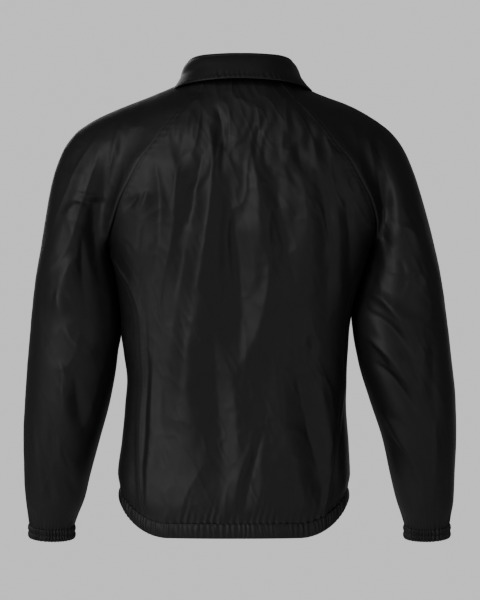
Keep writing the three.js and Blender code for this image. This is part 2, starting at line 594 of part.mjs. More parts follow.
function hemPieces() {
  const left = quarterOf(backSeam[1](HEM_DOWN), false);
  const right = quarterOf(backSeam[-1](HEM_DOWN), false);
  const past = 2 + LAP.past / body.half(HEM_DOWN) / (Math.PI / 2);
  const casing = (name, columns, point, from, to, flip = false) => ({
    name,
    rows: BAND_ROWS,
    columns,
    flip,
    at: (i, c) => point(from, to, i / (BAND_ROWS - 1), c),
  });
  return [
    casing("hem_back", HEM_BACK_COLUMNS, casingPoint, -right, left),
    casing("hem_front_left", HEM_FRONT_COLUMNS, lappedCasingPoint, left, past),
    casing("hem_front_right", HEM_FRONT_COLUMNS, casingPoint, -right, -past, true),
  ];
}

function clothPieces() {
  const back = { name: "back", rows: CAP_ROWS + LOW_ROWS, columns: BACK_COLUMNS, at: backPoint };
  return [back, ...sidePieces(1), ...sidePieces(-1), ...hemPieces()];
}

function addSnaps() {
  const { radius, rise, first, last, count, gap } = SNAP;
  const [bevel, top] = [rise * 0.6, radius * 0.8];
  const outline = [[0, 0], [radius, 0], [radius, bevel], [top, rise], [0, rise]];
  const profile = outline.map(([x, y]) => new THREE.Vector2(x, y));
  for (let k = 0; k < count; k++) {
    const down = mix(first, last, k / (count - 1));
    const cap = add(`snap_${k + 1}`, new THREE.LatheGeometry(profile, 16), snapMetal);
    cap.position.copy(bodyPoint(2, down, LAP.raise + gap));
    const along = bodyPoint(2, down + radius).sub(bodyPoint(2, down - radius));
    const out = new THREE.Vector3(0, along.z, -along.y).normalize();
    cap.quaternion.setFromUnitVectors(new THREE.Vector3(0, 1, 0), out);
  }
}

const grids = clothPieces().map(clothGrid);
const rests = grids.filter(({ name }) => /back|front|sleeve/.test(name));
const fall = (i, c) => collarPoint(rests, i / (COLLAR_ROWS - 1), c);
grids.push(clothGrid({ name: "collar", rows: COLLAR_ROWS, columns: neck.length, thick: COLLAR_CLOTH, at: fall }));
mitreSeams(grids);
grids.forEach((grid) => add(grid.name, clothWall(grid)));
addSnaps();

export default jacket;
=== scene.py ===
import json
import math

import bpy
import numpy as np
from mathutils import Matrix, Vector
from mathutils.kdtree import KDTree

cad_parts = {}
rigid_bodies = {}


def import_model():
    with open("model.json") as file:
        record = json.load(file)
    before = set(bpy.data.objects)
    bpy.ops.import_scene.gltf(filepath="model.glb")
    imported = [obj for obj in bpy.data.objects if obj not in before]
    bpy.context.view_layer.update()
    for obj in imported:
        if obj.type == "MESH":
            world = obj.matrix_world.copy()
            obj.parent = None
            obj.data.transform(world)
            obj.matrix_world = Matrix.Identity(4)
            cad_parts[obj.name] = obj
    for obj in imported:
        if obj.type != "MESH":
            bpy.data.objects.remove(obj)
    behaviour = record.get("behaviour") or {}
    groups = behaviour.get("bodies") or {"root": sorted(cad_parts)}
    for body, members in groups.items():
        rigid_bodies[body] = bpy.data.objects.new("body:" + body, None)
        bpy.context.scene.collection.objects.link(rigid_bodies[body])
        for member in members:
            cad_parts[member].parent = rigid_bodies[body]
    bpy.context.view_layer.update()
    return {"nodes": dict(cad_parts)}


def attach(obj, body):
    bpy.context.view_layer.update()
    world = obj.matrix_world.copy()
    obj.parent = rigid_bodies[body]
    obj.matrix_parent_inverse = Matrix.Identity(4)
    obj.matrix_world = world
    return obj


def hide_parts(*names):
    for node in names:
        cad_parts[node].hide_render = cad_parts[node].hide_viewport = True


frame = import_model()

bl_info = {
    "name": "Coach Jacket",
    "version": (1, 0, 0),
    "blender": (4, 5, 0),
    "location": "3D View > Sidebar > Jacket",
    "description": "Dresses the packed solids of a coach jacket in black nylon",
    "category": "Object",
}

# All sizes of the cloth are in millimetres. "Down" is measured from the back neck seam.
MM = 0.001
SEED = 11


def table(names, *rows):
    """The rows of a table as one array for each named column."""
    return {name: np.array([row[k] for row in rows], float) for k, name in enumerate(names.split())}


# Body: half width, sideways shift, and how far the back and front reach, at each level down
BODY = table(
    "down half mid back front",
    (0, 86, -4, 62, -30),
    (10, 97, -5, 69, -38),
    (30, 110, -8, 81, -56),
    (66, 167, -9, 98, -84),
    (105, 210, -10, 110, -110),
    (149, 235, -11, 119, -131),
    (195, 238, -12, 123, -144),
    (236, 230, -11, 123, -149),
    (285, 214, -3, 120, -149),
    (343, 198, 0, 113, -142),
    (400, 187, 4, 107, -134),
    (452, 184, 4, 103, -128),
    (512, 180, 2, 101, -125),
    (560, 181, 4, 103, -126),
    (640, 186, 5, 111, -131),
    (700, 190, 7, 117, -135),
    (728, 186, 7, 115, -131),
    (751, 186, 7, 114, -130),
)
BOX = 2.5  # power of the body's rounded section
SIDE_Y = -5
HEM_DOWN, EDGE_DOWN = 728, 751
CASING = 23
HEM_LIFT = 52  # how much higher the hem lies at the front than at the back
LIFT_DOWN = 400  # where on the body the lift begins
LIFT_FROM, LIFT_TO = 0.36, 0.92  # and the turn, in quarters, over which it grows
UNDERARM = 285

# Seams on the body, as a share of its half width
BACK_SEAM = table(
    "down left right",
    (3, 0.6, 0.6),
    (30, 0.7, 0.7),
    (66, 0.66, 0.66),
    (105, 0.67, 0.67),
    (149, 0.74, 0.74),
    (195, 0.83, 0.83),
    (236, 0.92, 0.92),
    (265, 0.975, 0.975),
    (285, 1, 1),
    (318, 0.965, 0.985),
    (350, 0.9, 0.965),
    (400, 0.85, 0.96),
    (452, 0.85, 0.967),
    (512, 0.86, 0.975),
    (560, 0.865, 0.95),
    (640, 0.84, 0.87),
    (728, 0.775, 0.79),
    (751, 0.775, 0.79),
)
FRONT_SEAM = table(
    "down share",
    (40, 0.48),
    (62, 0.5),
    (92, 0.53),
    (125, 0.6),
    (160, 0.69),
    (195, 0.78),
    (228, 0.87),
    (262, 0.965),
    (285, 1),
)
INNER = table(
    "down back front",
    (0, 0.39, 1.72),
    (66, 0.425, 1.68),
    (125, 0.46, 1.62),
    (160, 0.51, 1.555),
    (195, 0.57, 1.48),
    (228, 0.64, 1.4),
    (300, 0.72, 1.2),
    (400, 0.68, 0.95),
    (520, 0.64, 0.8),
    (640, 0.58, 0.68),
    (728, 0.53, 0.58),
)
INNER_POWER = 4
NECK_BACK, NECK_FRONT, NECK_CENTRE = 3, 40, 80
LAP_PAST, LAP_RAISE, LAP_FADE = 18, 3, 46

# Sleeve sections from the neck to the underarm, then down the arm to the cuff
SLEEVE = table(
    "out_down left right mid_y seam_back seam_front round bulge valley",
    (10, 86, 92, -2, 3, 40, 0, 0, 0),
    (28, 128, 128, -3, 30, 62, 0, 0, 0),
    (50, 184, 184, -3, 66, 92, 0.02, 4, 0),
    (73, 236, 225, -4, 105, 125, 0.1, 12, 3),
    (97, 271, 256, -5, 145, 160, 0.25, 22, 9),
    (130, 291, 277, -6, 180, 195, 0.42, 32, 19),
    (171, 305, 292, -6, 215, 228, 0.62, 43, 27),
    (225, 315, 309, -6, 255, 262, 0.85, 56, 20),
    (285, 324, 324, -6, 285, 285, 1, 68, 0),
)
ARM = table(
    "out_down left right in_down in_left in_right mid_y depth pitch",
    (285, 324, 324, 285, 212.6, 218.6, -6, 68, 0),
    (335, 333, 334, 338, 200.5, 200.5, -7, 74, 0),
    (400, 340, 343, 402, 193.5, 187, -9, 77, 0.02),
    (466, 346, 351, 468, 199, 197, -14, 77, 0.05),
    (531, 351, 358, 531, 210, 216, -22, 74, 0.1),
    (597, 354, 360, 597, 228, 238, -34, 68, 0.14),
    (655, 354, 358, 655, 244, 251, -46, 60, 0.18),
    (695, 352, 357, 695, 254, 261, -54, 53, 0.2),
    (722, 349, 353, 724, 266, 271, -60, 45, 0.2),
    (740, 346, 350, 742, 273, 277, -63, 39, 0.2),
)
CAP_ROWS, LOW_ROWS, ARM_ROWS = 13, 12, 18
CAP_EASE = 0.9  # how straight the cloth leaves its seam and reaches the top of the shoulder
SEAM_STEP = 0.02  # a short way inside a seam, in quarters of a turn
# Where the valley beside the shoulder blade runs, as a share of the half section from its seam
GROOVE_AT, GROOVE_WIDE, GROOVE_FROM = 0.27, 0.15, 0.16
ARM_FROM = 7  # the row from which the cap's sections turn into the arm's
OFF_SEAM = 0.05  # and how far round from the seams they do so in full
# The rows between which the underarm is evened out, the fine rows that each point is evened over, and how
# far from the seams it begins and is full
EVEN_ROWS, EVEN_REACH, EVEN_NEAR = (3.5, 6, CAP_ROWS + 1, CAP_ROWS + 4), 20, (2, 30)

# Collar, by the share of the way from centre back to centre front
COLLAR = table(
    "round stand lean spread drop swing",
    (0, 31, 5, 24, 38, 0),
    (0.3, 32, 5, 28, 39, 0),
    (0.46, 34, 4, 37, 44, 0),
    (0.6, 31, 3, 42, 52, 2),
    (0.76, 24, 1, 44, 62, 10),
    (0.9, 15, 0, 36, 66, 26),
    (1, 10, 0, 32, 66, 44),
)
STAND_END, FOLD_END = 0.25, 0.5  # the shares of the collar's rows that end its stand and its fold
FALL_CURVE = 0.85  # how soon the fall spreads
COLLAR_FOLD = 3.2  # radius of the fold
COLLAR_OPEN = 4  # how far its ends lie from the centre front
COLLAR_THICK = 1.8
COLLAR_CLEAR = 3.2  # how far its under side keeps off the panels
BACK_COLUMNS, SLEEVE_COLUMNS, FRONT_COLUMNS = 24, 20, 14  # of the solids' sections along the neck
STAND_TUCK, STAND_IN = 3.5, 1.4  # how far the stand reaches below and inside the neck seam
# How many times these are smoothed along the collar: its ways out, the line over its neck seam, the seam
# and the fall
EASE_WAY, EASE_LINE, EASE_SEAM, EASE_FALL = 140, 170, 30, 260
LIFT_TIMES, LIFT_EASE, LIFT_NEAR = 3, (24, 6), 0.03  # how the fall is lifted off the panels, metres away
PANELS_HIGH, PANELS_EACH = -0.22, 7  # it lies on their points above this height, one in so many
PART_DOWN = {"left": 438, "right": 404}  # where a sleeve and the body part
PART_FADE = (14, -22)  # how far below and above that their touch ends and is full
TOUCH_FROM, TOUCH_OVER = (280, 289), 0.3  # where it starts at the underarm, and how far each side presses
TOUCH_SIDE, TOUCH_TURN = (0.93, 0.995), 0.13  # how far round the body and the sleeve it reaches
CUFF_HEIGHT, CUFF_BELOW = 20, 0.8
CUFF_WAVES, CUFF_WAVE_HIGH = 42, 1.15  # how many gathers the elastic draws up, and how high
CUFF_TURN, CASING_TURN = 0.62, 0.55  # the share of its rows that ends a band's outer side
CUFF_UP, CASING_UP = 0.8, 0.9  # the share of its height that it comes back up inside
CUFF_PUFF, CASING_PUFF = 1.5, 2.4  # how far it puffs out between its stitches
CUFF_IN, CASING_IN = 2.2, 1.8  # how far inside the panel it comes back up
CUFF_LEAN = 0.4  # how much of the arm's slant a cuff keeps
CASING_LAP = 1.9  # how many times the lap's height the casing is raised by where it laps
BAND_OVER = 1.2  # a casing or cuff starts this far above its seam
BAND_OUT = 0.7  # and this far out, over the panel tucked behind it
HEM_NODES = ("hem_back", "hem_front_left", "hem_front_right")
HEM_GAP = 0.0016  # between two pieces of the casing, in quarters of a turn

# How far along and behind each row lies that carries a panel's edge on behind its band
TUCK = ((0.6, 0.9), (3, 1.9), (8, 2.2))
# The same for each column that turns a front's edge under itself
EDGE_TURN = ((-0.45, 0.15), (-0.6, 0.5), (-0.4, 0.9), (0.3, 1), (7, 1))

# Rows and columns of the fine sheets
BACK_GRID, FRONT_GRID, SLEEVE_GRID = (330, 210), (290, 130), (320, 196)
CUFF_GRID, CASING_GRID, COLLAR_GRID = (44, 504), (40, 380), (64, 300)
SEAM_FADE = (1, 16)  # the creases start and are full this far from a seam
NECK_FADE, ARM_FADE = 14, 30  # and are full this far below the neck, and from the arm's inside and the cuff
LAP_FLAT = (4, 70)  # and they start and are full this far from the lap of a front edge
GATHER_FADE = 8  # the gathers of the hem are full this far from a seam

STITCH, STITCH_GAP, THREAD = 2.5, 1.1, 0.32
STITCH_BEND, STITCH_OUT = ((0, -0.3), (0.3, 0.5), (0.7, 0.5), (1, -0.3)), 0.1  # it dips at both ends
TOPSTITCH, LAP_STITCH = 5.5, 12  # how far a topstitch runs from a seam or an edge
STITCH_ROWS = {"collar": -5, "cuff": 13, "hem": 2}  # the row of the fine sheet that each runs along
# Radius and height of a snap cap's outline, from its middle to its foot
SNAP_PROFILE = (
    (0, 1.3), (2.6, 1.35), (4.4, 1.5), (4.9, 1.9), (5.4, 2.3),
    (6.1, 2.4), (6.8, 2.2), (7.35, 1.7), (7.6, 1.0), (7.6, 0),
)

# Creases seen from behind: a curve through three points, x and down, its width and height (troughs are
# negative), and how far along it is at its highest, as a share of its length
BACK_CREASES = table(
    "x0 down0 xm downm x1 down1 wide high peak",
    (52, 120, 90, 300, 142, 650, 38, -11, 0.42),
    (36, 118, 66, 350, 112, 660, 52, 12, 0.45),
    (22, 180, -2, 318, 0, 500, 32, -9, 0.45),
    (-18, 112, -40, 236, -54, 380, 38, 9, 0.5),
    (-50, 300, -34, 410, 16, 500, 30, 6, 0.45),
    (-52, 150, -70, 245, -92, 370, 30, -7.5, 0.5),
    (-92, 140, -114, 250, -112, 410, 32, 6.5, 0.45),
    (-126, 160, -144, 260, -142, 410, 26, -5.5, 0.5),
    (-152, 190, -163, 290, -163, 440, 22, 4.5, 0.45),
    (-172, 196, -181, 280, -186, 400, 18, -5, 0.5),
    (106, 130, 100, 220, 120, 330, 26, 7, 0.4),
    (136, 140, 128, 235, 144, 370, 22, -6.5, 0.5),
    (-84, 400, -112, 567, -148, 716, 34, -8.5, 0.6),
    (-52, 420, -80, 590, -112, 708, 36, 5, 0.55),
    (-130, 470, -150, 590, -172, 712, 24, 4.6, 0.6),
    (-42, 570, -20, 650, -8, 710, 19, -5.5, 0.6),
    (-26, 590, -4, 650, 6, 712, 19, 3.4, 0.6),
    (88, 400, 78, 530, 64, 706, 44, 4.4, 0.5),
    (150, 380, 152, 560, 168, 712, 16, -5, 0.6),
    (137, 420, 143, 600, 152, 712, 16, 4.2, 0.6),
    (-112, 425, -120, 446, -108, 470, 14, -2.6, 0.4),
    (44, 400, 32, 560, 26, 714, 38, -4.4, 0.5),
    (-166, 420, -168, 560, -160, 710, 14, -3, 0.5),
    (10, 480, 0, 600, -2, 712, 30, 2.6, 0.5),
)
BACK_CRUMPLES = table(
    "x0 down0 xm downm x1 down1 wide high peak",
    (36, 52, 24, 104, 30, 160, 22, -7, 0.5),
    (50, 76, 42, 128, 44, 184, 18, 3.6, 0.4),
    (-30, 84, -31, 112, -26, 156, 16, -2.6, 0.4),
    (-72, 96, -72, 142, -82, 204, 18, 2.8, 0.4),
    (-96, 108, -100, 150, -112, 208, 18, -3.2, 0.4),
    (-118, 104, -128, 150, -140, 208, 18, 3, 0.4),
    (74, 60, 72, 96, 80, 146, 18, 2.6, 0.4),
    (90, 96, 92, 140, 100, 186, 16, -3, 0.4),
    (148, 190, 152, 212, 168, 240, 12, 3.4, 0.4),
    (160, 196, 174, 214, 194, 228, 11, -3.6, 0.4),
    (152, 246, 158, 330, 162, 424, 14, -3, 0.4),
    (-140, 96, -150, 130, -166, 170, 14, 2.2, 0.4),
)
# Left and right sleeves as seen from behind
SLEEVE_CREASES = table(
    "x0 down0 xm downm x1 down1 wide high peak",
    (192, 66, 203, 133, 214, 200, 10, 2.8, 0.6),
    (266, 192, 238, 200, 208, 200, 8, 2.4, 0.5),
    (268, 204, 240, 210, 208, 210, 9, -3.4, 0.5),
    (246, 208, 268, 218, 279, 236, 13, 3, 0.6),
    (278, 232, 266, 258, 258, 290, 15, 3.6, 0.5),
    (256, 286, 276, 318, 293, 352, 16, 4, 0.6),
    (292, 346, 290, 380, 280, 414, 17, 4.6, 0.4),
    (282, 410, 256, 448, 212, 468, 17, 5, 0.4),
    (236, 206, 224, 310, 212, 440, 46, -13, 0.4),
    (252, 262, 250, 330, 244, 400, 20, -4, 0.5),
    (262, 128, 250, 158, 256, 180, 20, 1, 0.5),
    (290, 156, 268, 166, 246, 168, 18, 1.8, 0.5),
    (300, 150, 296, 230, 302, 320, 22, 1.6, 0.5),
    (150, 44, 158, 68, 180, 84, 18, -1.8, 0.4),
    (290, 466, 276, 500, 250, 520, 16, 3.4, 0.4),
    (286, 486, 280, 548, 262, 612, 20, 6, 0.4),
    (266, 486, 256, 550, 246, 606, 22, -7, 0.4),
    (300, 590, 280, 640, 262, 676, 17, 4.4, 0.4),
    (290, 600, 276, 650, 264, 700, 14, -3.6, 0.4),
    (330, 590, 314, 650, 304, 716, 15, -4, 0.5),
    (336, 560, 326, 640, 316, 718, 13, 3.2, 0.5),
    (312, 540, 300, 600, 290, 664, 14, -3, 0.4),
    (314, 300, 318, 390, 312, 480, 24, -2.4, 0.4),
    (-194, 56, -216, 128, -229, 226, 12, 3, 0.6),
    (-206, 70, -234, 140, -240, 218, 26, -7, 0.6),
    (-232, 214, -246, 250, -262, 276, 13, 3.4, 0.4),
    (-224, 236, -236, 268, -250, 290, 12, -2.6, 0.5),
    (-222, 250, -222, 300, -214, 360, 16, -6, 0.5),
    (-240, 318, -270, 326, -298, 322, 14, 3, 0.5),
    (-262, 250, -286, 262, -298, 304, 14, 2.8, 0.5),
    (-262, 300, -270, 330, -262, 366, 13, -2.6, 0.5),
    (-298, 306, -306, 330, -292, 354, 12, 2.6, 0.5),
    (-206, 352, -252, 384, -292, 450, 18, 8, 0.5),
    (-292, 444, -300, 456, -294, 480, 14, 3, 0.5),
    (-206, 382, -254, 420, -290, 480, 15, -6.5, 0.5),
    (-206, 428, -256, 470, -298, 540, 18, 8, 0.5),
    (-220, 468, -262, 508, -300, 580, 15, -6, 0.5),
    (-230, 548, -266, 600, -300, 676, 16, 5.5, 0.5),
    (-246, 584, -280, 640, -304, 704, 14, -4.6, 0.5),
    (-160, 46, -180, 84, -190, 130, 18, 2, 0.4),
    (-314, 420, -318, 500, -320, 580, 18, -2.6, 0.5),
    (-320, 560, -322, 640, -316, 716, 15, 2.8, 0.5),
    (-302, 640, -298, 690, -298, 722, 12, 2.8, 0.5),
    (-276, 640, -284, 680, -290, 716, 13, -2.8, 0.5),
)
# Creases on the fronts and the front of the sleeves, which the photograph hides
FRONT_CREASES = table(
    "x0 down0 xm downm x1 down1 wide high peak",
    (150, 130, 112, 330, 84, 640, 24, -6.5, 0.4),
    (112, 170, 84, 330, 62, 560, 20, 5, 0.4),
    (168, 320, 154, 520, 132, 700, 20, 4.5, 0.4),
    (60, 150, 48, 300, 44, 470, 15, -3.5, 0.4),
    (92, 560, 84, 640, 90, 715, 12, -3.2, 0.4),
    (-160, 130, -126, 330, -96, 640, 24, -6, 0.4),
    (-118, 180, -92, 340, -74, 560, 20, 5, 0.4),
    (-172, 330, -160, 520, -140, 700, 20, 4, 0.4),
    (-70, 160, -58, 300, -50, 450, 15, -3.5, 0.4),
    (-96, 560, -88, 640, -92, 715, 12, 3, 0.4),
    (210, 190, 172, 176, 128, 172, 10, 4, 0.4),
    (206, 216, 168, 204, 120, 206, 10, -4.4, 0.4),
    (-222, 196, -180, 182, -136, 178, 10, 3.8, 0.4),
    (-216, 220, -176, 210, -128, 212, 10, -4, 0.4),
    (216, 300, 262, 350, 306, 400, 12, 6, 0.4),
    (214, 340, 256, 390, 296, 452, 12, -6, 0.4),
    (226, 430, 266, 480, 312, 536, 12, 5.5, 0.4),
    (240, 480, 280, 540, 316, 600, 11, -5, 0.4),
    (-216, 310, -260, 364, -308, 420, 12, 6, 0.4),
    (-212, 350, -254, 404, -300, 470, 12, -6, 0.4),
    (-232, 450, -272, 500, -320, 560, 12, 5, 0.4),
    (-250, 500, -286, 560, -322, 630, 11, -5, 0.4),
    (262, 560, 300, 620, 322, 700, 10, -4, 0.4),
    (-262, 570, -300, 630, -322, 700, 10, 4, 0.4),
    (232, 110, 226, 160, 214, 220, 10, 4, 0.4),
    (-226, 110, -232, 160, -228, 220, 10, 4, 0.4),
)

CREASE_STEPS = 8  # straight steps along a crease's curve
CREASE_WIDE = 1.3  # how wide its sides reach, as a share of the table's width
CREASE_REACH = 3.2  # how far it is looked for
RISE = 1.15  # how it rises from its ends
POINTED = 0.3  # how narrow its upper end is, as a share of its width
LEAN = 0.18  # how much steeper one side is than the other
CREASE_ROUND = 0.12  # how rounded its ridge is, as a share of its width
CREASE_FOOT = 1.8  # how softly its sides run out
WOBBLE, WOBBLE_SIZE = 0.25, 37  # how its width varies, and over what size
DIAMOND_WIDE, DIAMOND_LONG, DIAMOND_HIGH = 27, 74, 1.7

# The finished faces of the pieces with their ways out, which the stitches and snaps lie on
GRIDS = {}


def smooth(start, end, x):
    t = np.clip((np.asarray(x, float) - start) / (end - start), 0, 1)
    return t * t * (3 - 2 * t)


def mix(a, b, t):
    return a + (b - a) * t


def curve(xs, ys):
    """A smooth curve through points, which never swings past them."""
    steep = np.diff(ys) / np.diff(xs)
    slopes = np.concatenate([steep[:1], np.zeros(len(xs) - 2), steep[-1:]])
    before, after = steep[:-1], steep[1:]
    same = before * after > 0
    slopes[1:-1][same] = (2 * before * after)[same] / (before + after)[same]

    def at(x):
        x = np.clip(np.asarray(x, float), xs[0], xs[-1])
        i = np.clip(np.searchsorted(xs, x, side="right") - 1, 0, len(xs) - 2)
        span = xs[i + 1] - xs[i]
        t = (x - xs[i]) / span
        eased = t * t * (3 - 2 * t)
        leave = t * (1 - t) ** 2 * span * slopes[i]
        arrive = t * t * (t - 1) * span * slopes[i + 1]
        return mix(ys[i], ys[i + 1], eased) + leave + arrive

    return at


def curves(rows, by=None):
    """A curve for each column of a table, read by one of its columns or by the row's number."""
    first = next(iter(rows.values()))
    xs = rows[by] if by else np.arange(len(first), dtype=float)
    return {name: curve(xs, ys) for name, ys in rows.items() if name != by}


body = curves(BODY, "down")
back_seam = curves(BACK_SEAM, "down")
front_seam = curves(FRONT_SEAM, "down")["share"]
inner = curves(INNER, "down")
sleeve = curves(SLEEVE)
arm = curves(ARM)
collar = curves(COLLAR, "round")


def quarter_of(share, is_front):
    """The turn round the body, in quarters from the centre back, of a share of the half width."""
    height = np.maximum(0, 1 - np.asarray(share, float) ** BOX) ** (1 / BOX)
    quarter = np.arctan2(share, height) / (math.pi / 2)
    return 2 - quarter if is_front else quarter


def lift_at(quarter):
    return HEM_LIFT * smooth(LIFT_FROM, LIFT_TO, np.abs(quarter))


def body_point(quarter, down, out=0.0):
    """A point of the smooth worn body, out millimetres off it."""
    quarter, down = np.broadcast_arrays(np.asarray(quarter, float), np.asarray(down, float))
    angle = quarter * math.pi / 2
    s, c = np.sin(angle), np.cos(angle)
    r = (np.abs(s) ** BOX + np.abs(c) ** BOX) ** (-1 / BOX)
    reach = np.where(c > 0, body["back"](down) - SIDE_Y, SIDE_Y - body["front"](down))
    x = body["mid"](down) + body["half"](down) * r * s
    lift = lift_at(quarter) * smooth(LIFT_DOWN, EDGE_DOWN, down)
    return np.stack([x + out * s, SIDE_Y + reach * r * c + out * c, lift - down], axis=-1)


def cap_at(row):
    return row / (CAP_ROWS - 1) * (len(SLEEVE["left"]) - 1)


def panel_down(seam, row):
    cap = sleeve[seam](cap_at(np.minimum(row, CAP_ROWS - 1)))
    return np.where(row < CAP_ROWS - 1, cap, mix(UNDERARM, HEM_DOWN, (row - CAP_ROWS + 1) / LOW_ROWS))


def back_point(row, c):
    down = panel_down("seam_back", row)
    left = quarter_of(back_seam["left"](down), False)
    right = quarter_of(back_seam["right"](down), False)
    across = 2 * c - 1
    to_seam = np.where(c > 0.5, left - inner["back"](down), inner["back"](down) - right)
    rise = NECK_BACK * np.sin(math.pi * c) * (1 - row / (CAP_ROWS + LOW_ROWS - 1)) ** 8
    quarter = across * inner["back"](down) + to_seam * np.abs(across) ** INNER_POWER
    return body_point(quarter, down - rise)


def front_point(side, row, c):
    down = panel_down("seam_front", row)
    upper = quarter_of(front_seam(np.clip(down, NECK_FRONT, UNDERARM)), True)
    lower = quarter_of(back_seam["left" if side > 0 else "right"](down), False)
    edge = np.where(down < UNDERARM, upper, lower)
    past = 2 + LAP_PAST / body["half"](np.maximum(down, NECK_CENTRE)) / (math.pi / 2)
    even = inner["front"](down)
    quarter = mix(even, past, c) + (edge - even) * (1 - c) ** INNER_POWER
    fade = (1 - row / (CAP_ROWS + LOW_ROWS - 1)) ** 4
    dip = (NECK_CENTRE - NECK_FRONT) * smooth(0, 0.95, c) * fade
    centre = (2 - quarter) * (math.pi / 2) * body["half"](down)
    out = LAP_RAISE * smooth(LAP_FADE, LAP_PAST, centre) if side > 0 else 0.0
    return body_point(side * quarter, down + dip, out)


def seam_and_inside(side, at, is_back):
    word = "left" if side > 0 else "right"
    down = sleeve["seam_back" if is_back else "seam_front"](at)
    share = back_seam[word](down) if is_back else front_seam(down)
    quarter = quarter_of(share, not is_back)
    step = -SEAM_STEP if is_back else SEAM_STEP
    return body_point(side * quarter, down), body_point(side * (quarter + step), down)


def lengths(v):
    return np.linalg.norm(v, axis=-1, keepdims=True)


def cap_half(side, at, t, is_back):
    """Half of a cap section, from its seam on the body to the top of the shoulder."""
    word = "left" if side > 0 else "right"
    x = side * sleeve[word](at)
    top = np.stack([x, sleeve["mid_y"](at), -sleeve["out_down"](at)], axis=-1)
    seam, inside = seam_and_inside(side, at, is_back)
    reach = lengths(top - seam)
    leave = (seam - inside) / lengths(seam - inside) * reach * CAP_EASE
    arrive = np.array([0, -1.0 if is_back else 1.0, 0]) * reach * CAP_EASE
    t = t[..., None]
    eased = t * t * (3 - 2 * t)
    arch = mix(seam, top, eased) + leave * t * (1 - t) ** 2 + arrive * t * t * (t - 1)
    loop = mix(seam, top, (1 - np.cos(math.pi * t)) / 2)
    way = 1 if is_back else -1
    loop[..., 1] += way * sleeve["bulge"](at) * np.sin(math.pi * t[..., 0])
    arch = mix(arch, loop, sleeve["round"](at)[..., None])
    groove = np.exp(-(((t[..., 0] - GROOVE_AT) / GROOVE_WIDE) ** 2)) * smooth(0, GROOVE_FROM, t[..., 0])
    arch[..., 1] -= way * sleeve["valley"](at) * groove
    return arch


def arm_point(side, at, turn):
    """A section of the arm, turn from 0 inside over 0.25 at the back and 0.5 outside."""
    word = "left" if side > 0 else "right"
    out_x, in_x = side * arm[word](at), side * arm["in_" + word](at)
    across = (1 - np.cos(turn * 2 * math.pi)) / 2
    y = arm["depth"](at) * np.sin(turn * 2 * math.pi)
    down = mix(arm["in_down"](at), arm["out_down"](at), across) + y * arm["pitch"](at)
    return np.stack([mix(in_x, out_x, across), arm["mid_y"](at) + y, -down], axis=-1)


def sleeve_point(side, row, u):
    row, u = np.broadcast_arrays(row, u)
    at = cap_at(np.minimum(row, CAP_ROWS - 1))
    back = cap_half(side, at, np.minimum(1, 2 * u), True)
    front = cap_half(side, at, np.minimum(1, 2 - 2 * u), False)
    cap = np.where((u < 0.5)[..., None], back, front)
    arm_at = np.maximum(0, row - CAP_ROWS + 1) / (ARM_ROWS - 1) * (len(ARM["left"]) - 1)
    low = arm_point(side, arm_at, u)
    last = np.full(u.shape, float(len(SLEEVE["left"]) - 1))
    end_back = cap_half(side, last, np.minimum(1, 2 * u), True)
    end_front = cap_half(side, last, np.minimum(1, 2 - 2 * u), False)
    end = np.where((u < 0.5)[..., None], end_back, end_front)
    turned = smooth(0, OFF_SEAM, np.minimum(u, 1 - u)) * smooth(ARM_FROM, CAP_ROWS - 1, row)
    cap += (arm_point(side, 0 * last, u) - end) * turned[..., None]
    return np.where((row < CAP_ROWS - 1)[..., None], cap, low)


class Noise:
    """Smooth seeded noise over a plane, from -1 to 1."""

    SIZE = 64

    def __init__(self, seed):
        self.grid = np.random.default_rng(seed).uniform(-1, 1, (self.SIZE, self.SIZE))

    def __call__(self, x, y):
        ix, iy = np.floor(x).astype(int), np.floor(y).astype(int)
        fx, fy = smooth(0, 1, x - ix), smooth(0, 1, y - iy)

        def corner(right, above):
            return self.grid[(ix + right) % self.SIZE, (iy + above) % self.SIZE]

        return mix(mix(corner(0, 0), corner(1, 0), fx), mix(corner(0, 1), corner(1, 1), fx), fy)


noise_a, noise_b, noise_c = Noise(SEED), Noise(SEED + 1), Noise(SEED + 2)


def crease_line(row):
    """The points of a crease: a curve from its first point through its middle one to its last."""
    t = np.linspace(0, 1, CREASE_STEPS + 1)
    line = []
    for first, middle, last in (("x0", "xm", "x1"), ("down0", "downm", "down1")):
        pull = 2 * row[middle] - (row[first] + row[last]) / 2
        line.append((1 - t) ** 2 * row[first] + t * t * row[last] + 2 * t * (1 - t) * pull)
    return line


def beside_line(x, down, line_x, line_down):
    """How far each point is from a line, how far along it, and on which side of it."""
    best = np.full(x.shape, np.inf)
    along = np.zeros_like(x)
    side = np.zeros_like(x)
    for i in range(CREASE_STEPS):
        dx, dd = line_x[i + 1] - line_x[i], line_down[i + 1] - line_down[i]
        length = math.hypot(dx, dd) + 1e-9
        s = np.clip(((x - line_x[i]) * dx + (down - line_down[i]) * dd) / length**2, 0, 1)
        off_x, off_down = x - line_x[i] - s * dx, down - line_down[i] - s * dd
        distance = np.hypot(off_x, off_down)
        closer = distance < best
        best = np.where(closer, distance, best)
        along = np.where(closer, (i + s) / CREASE_STEPS, along)
        side = np.where(closer, np.sign(off_x * dd - off_down * dx), side)
    return best, along, side


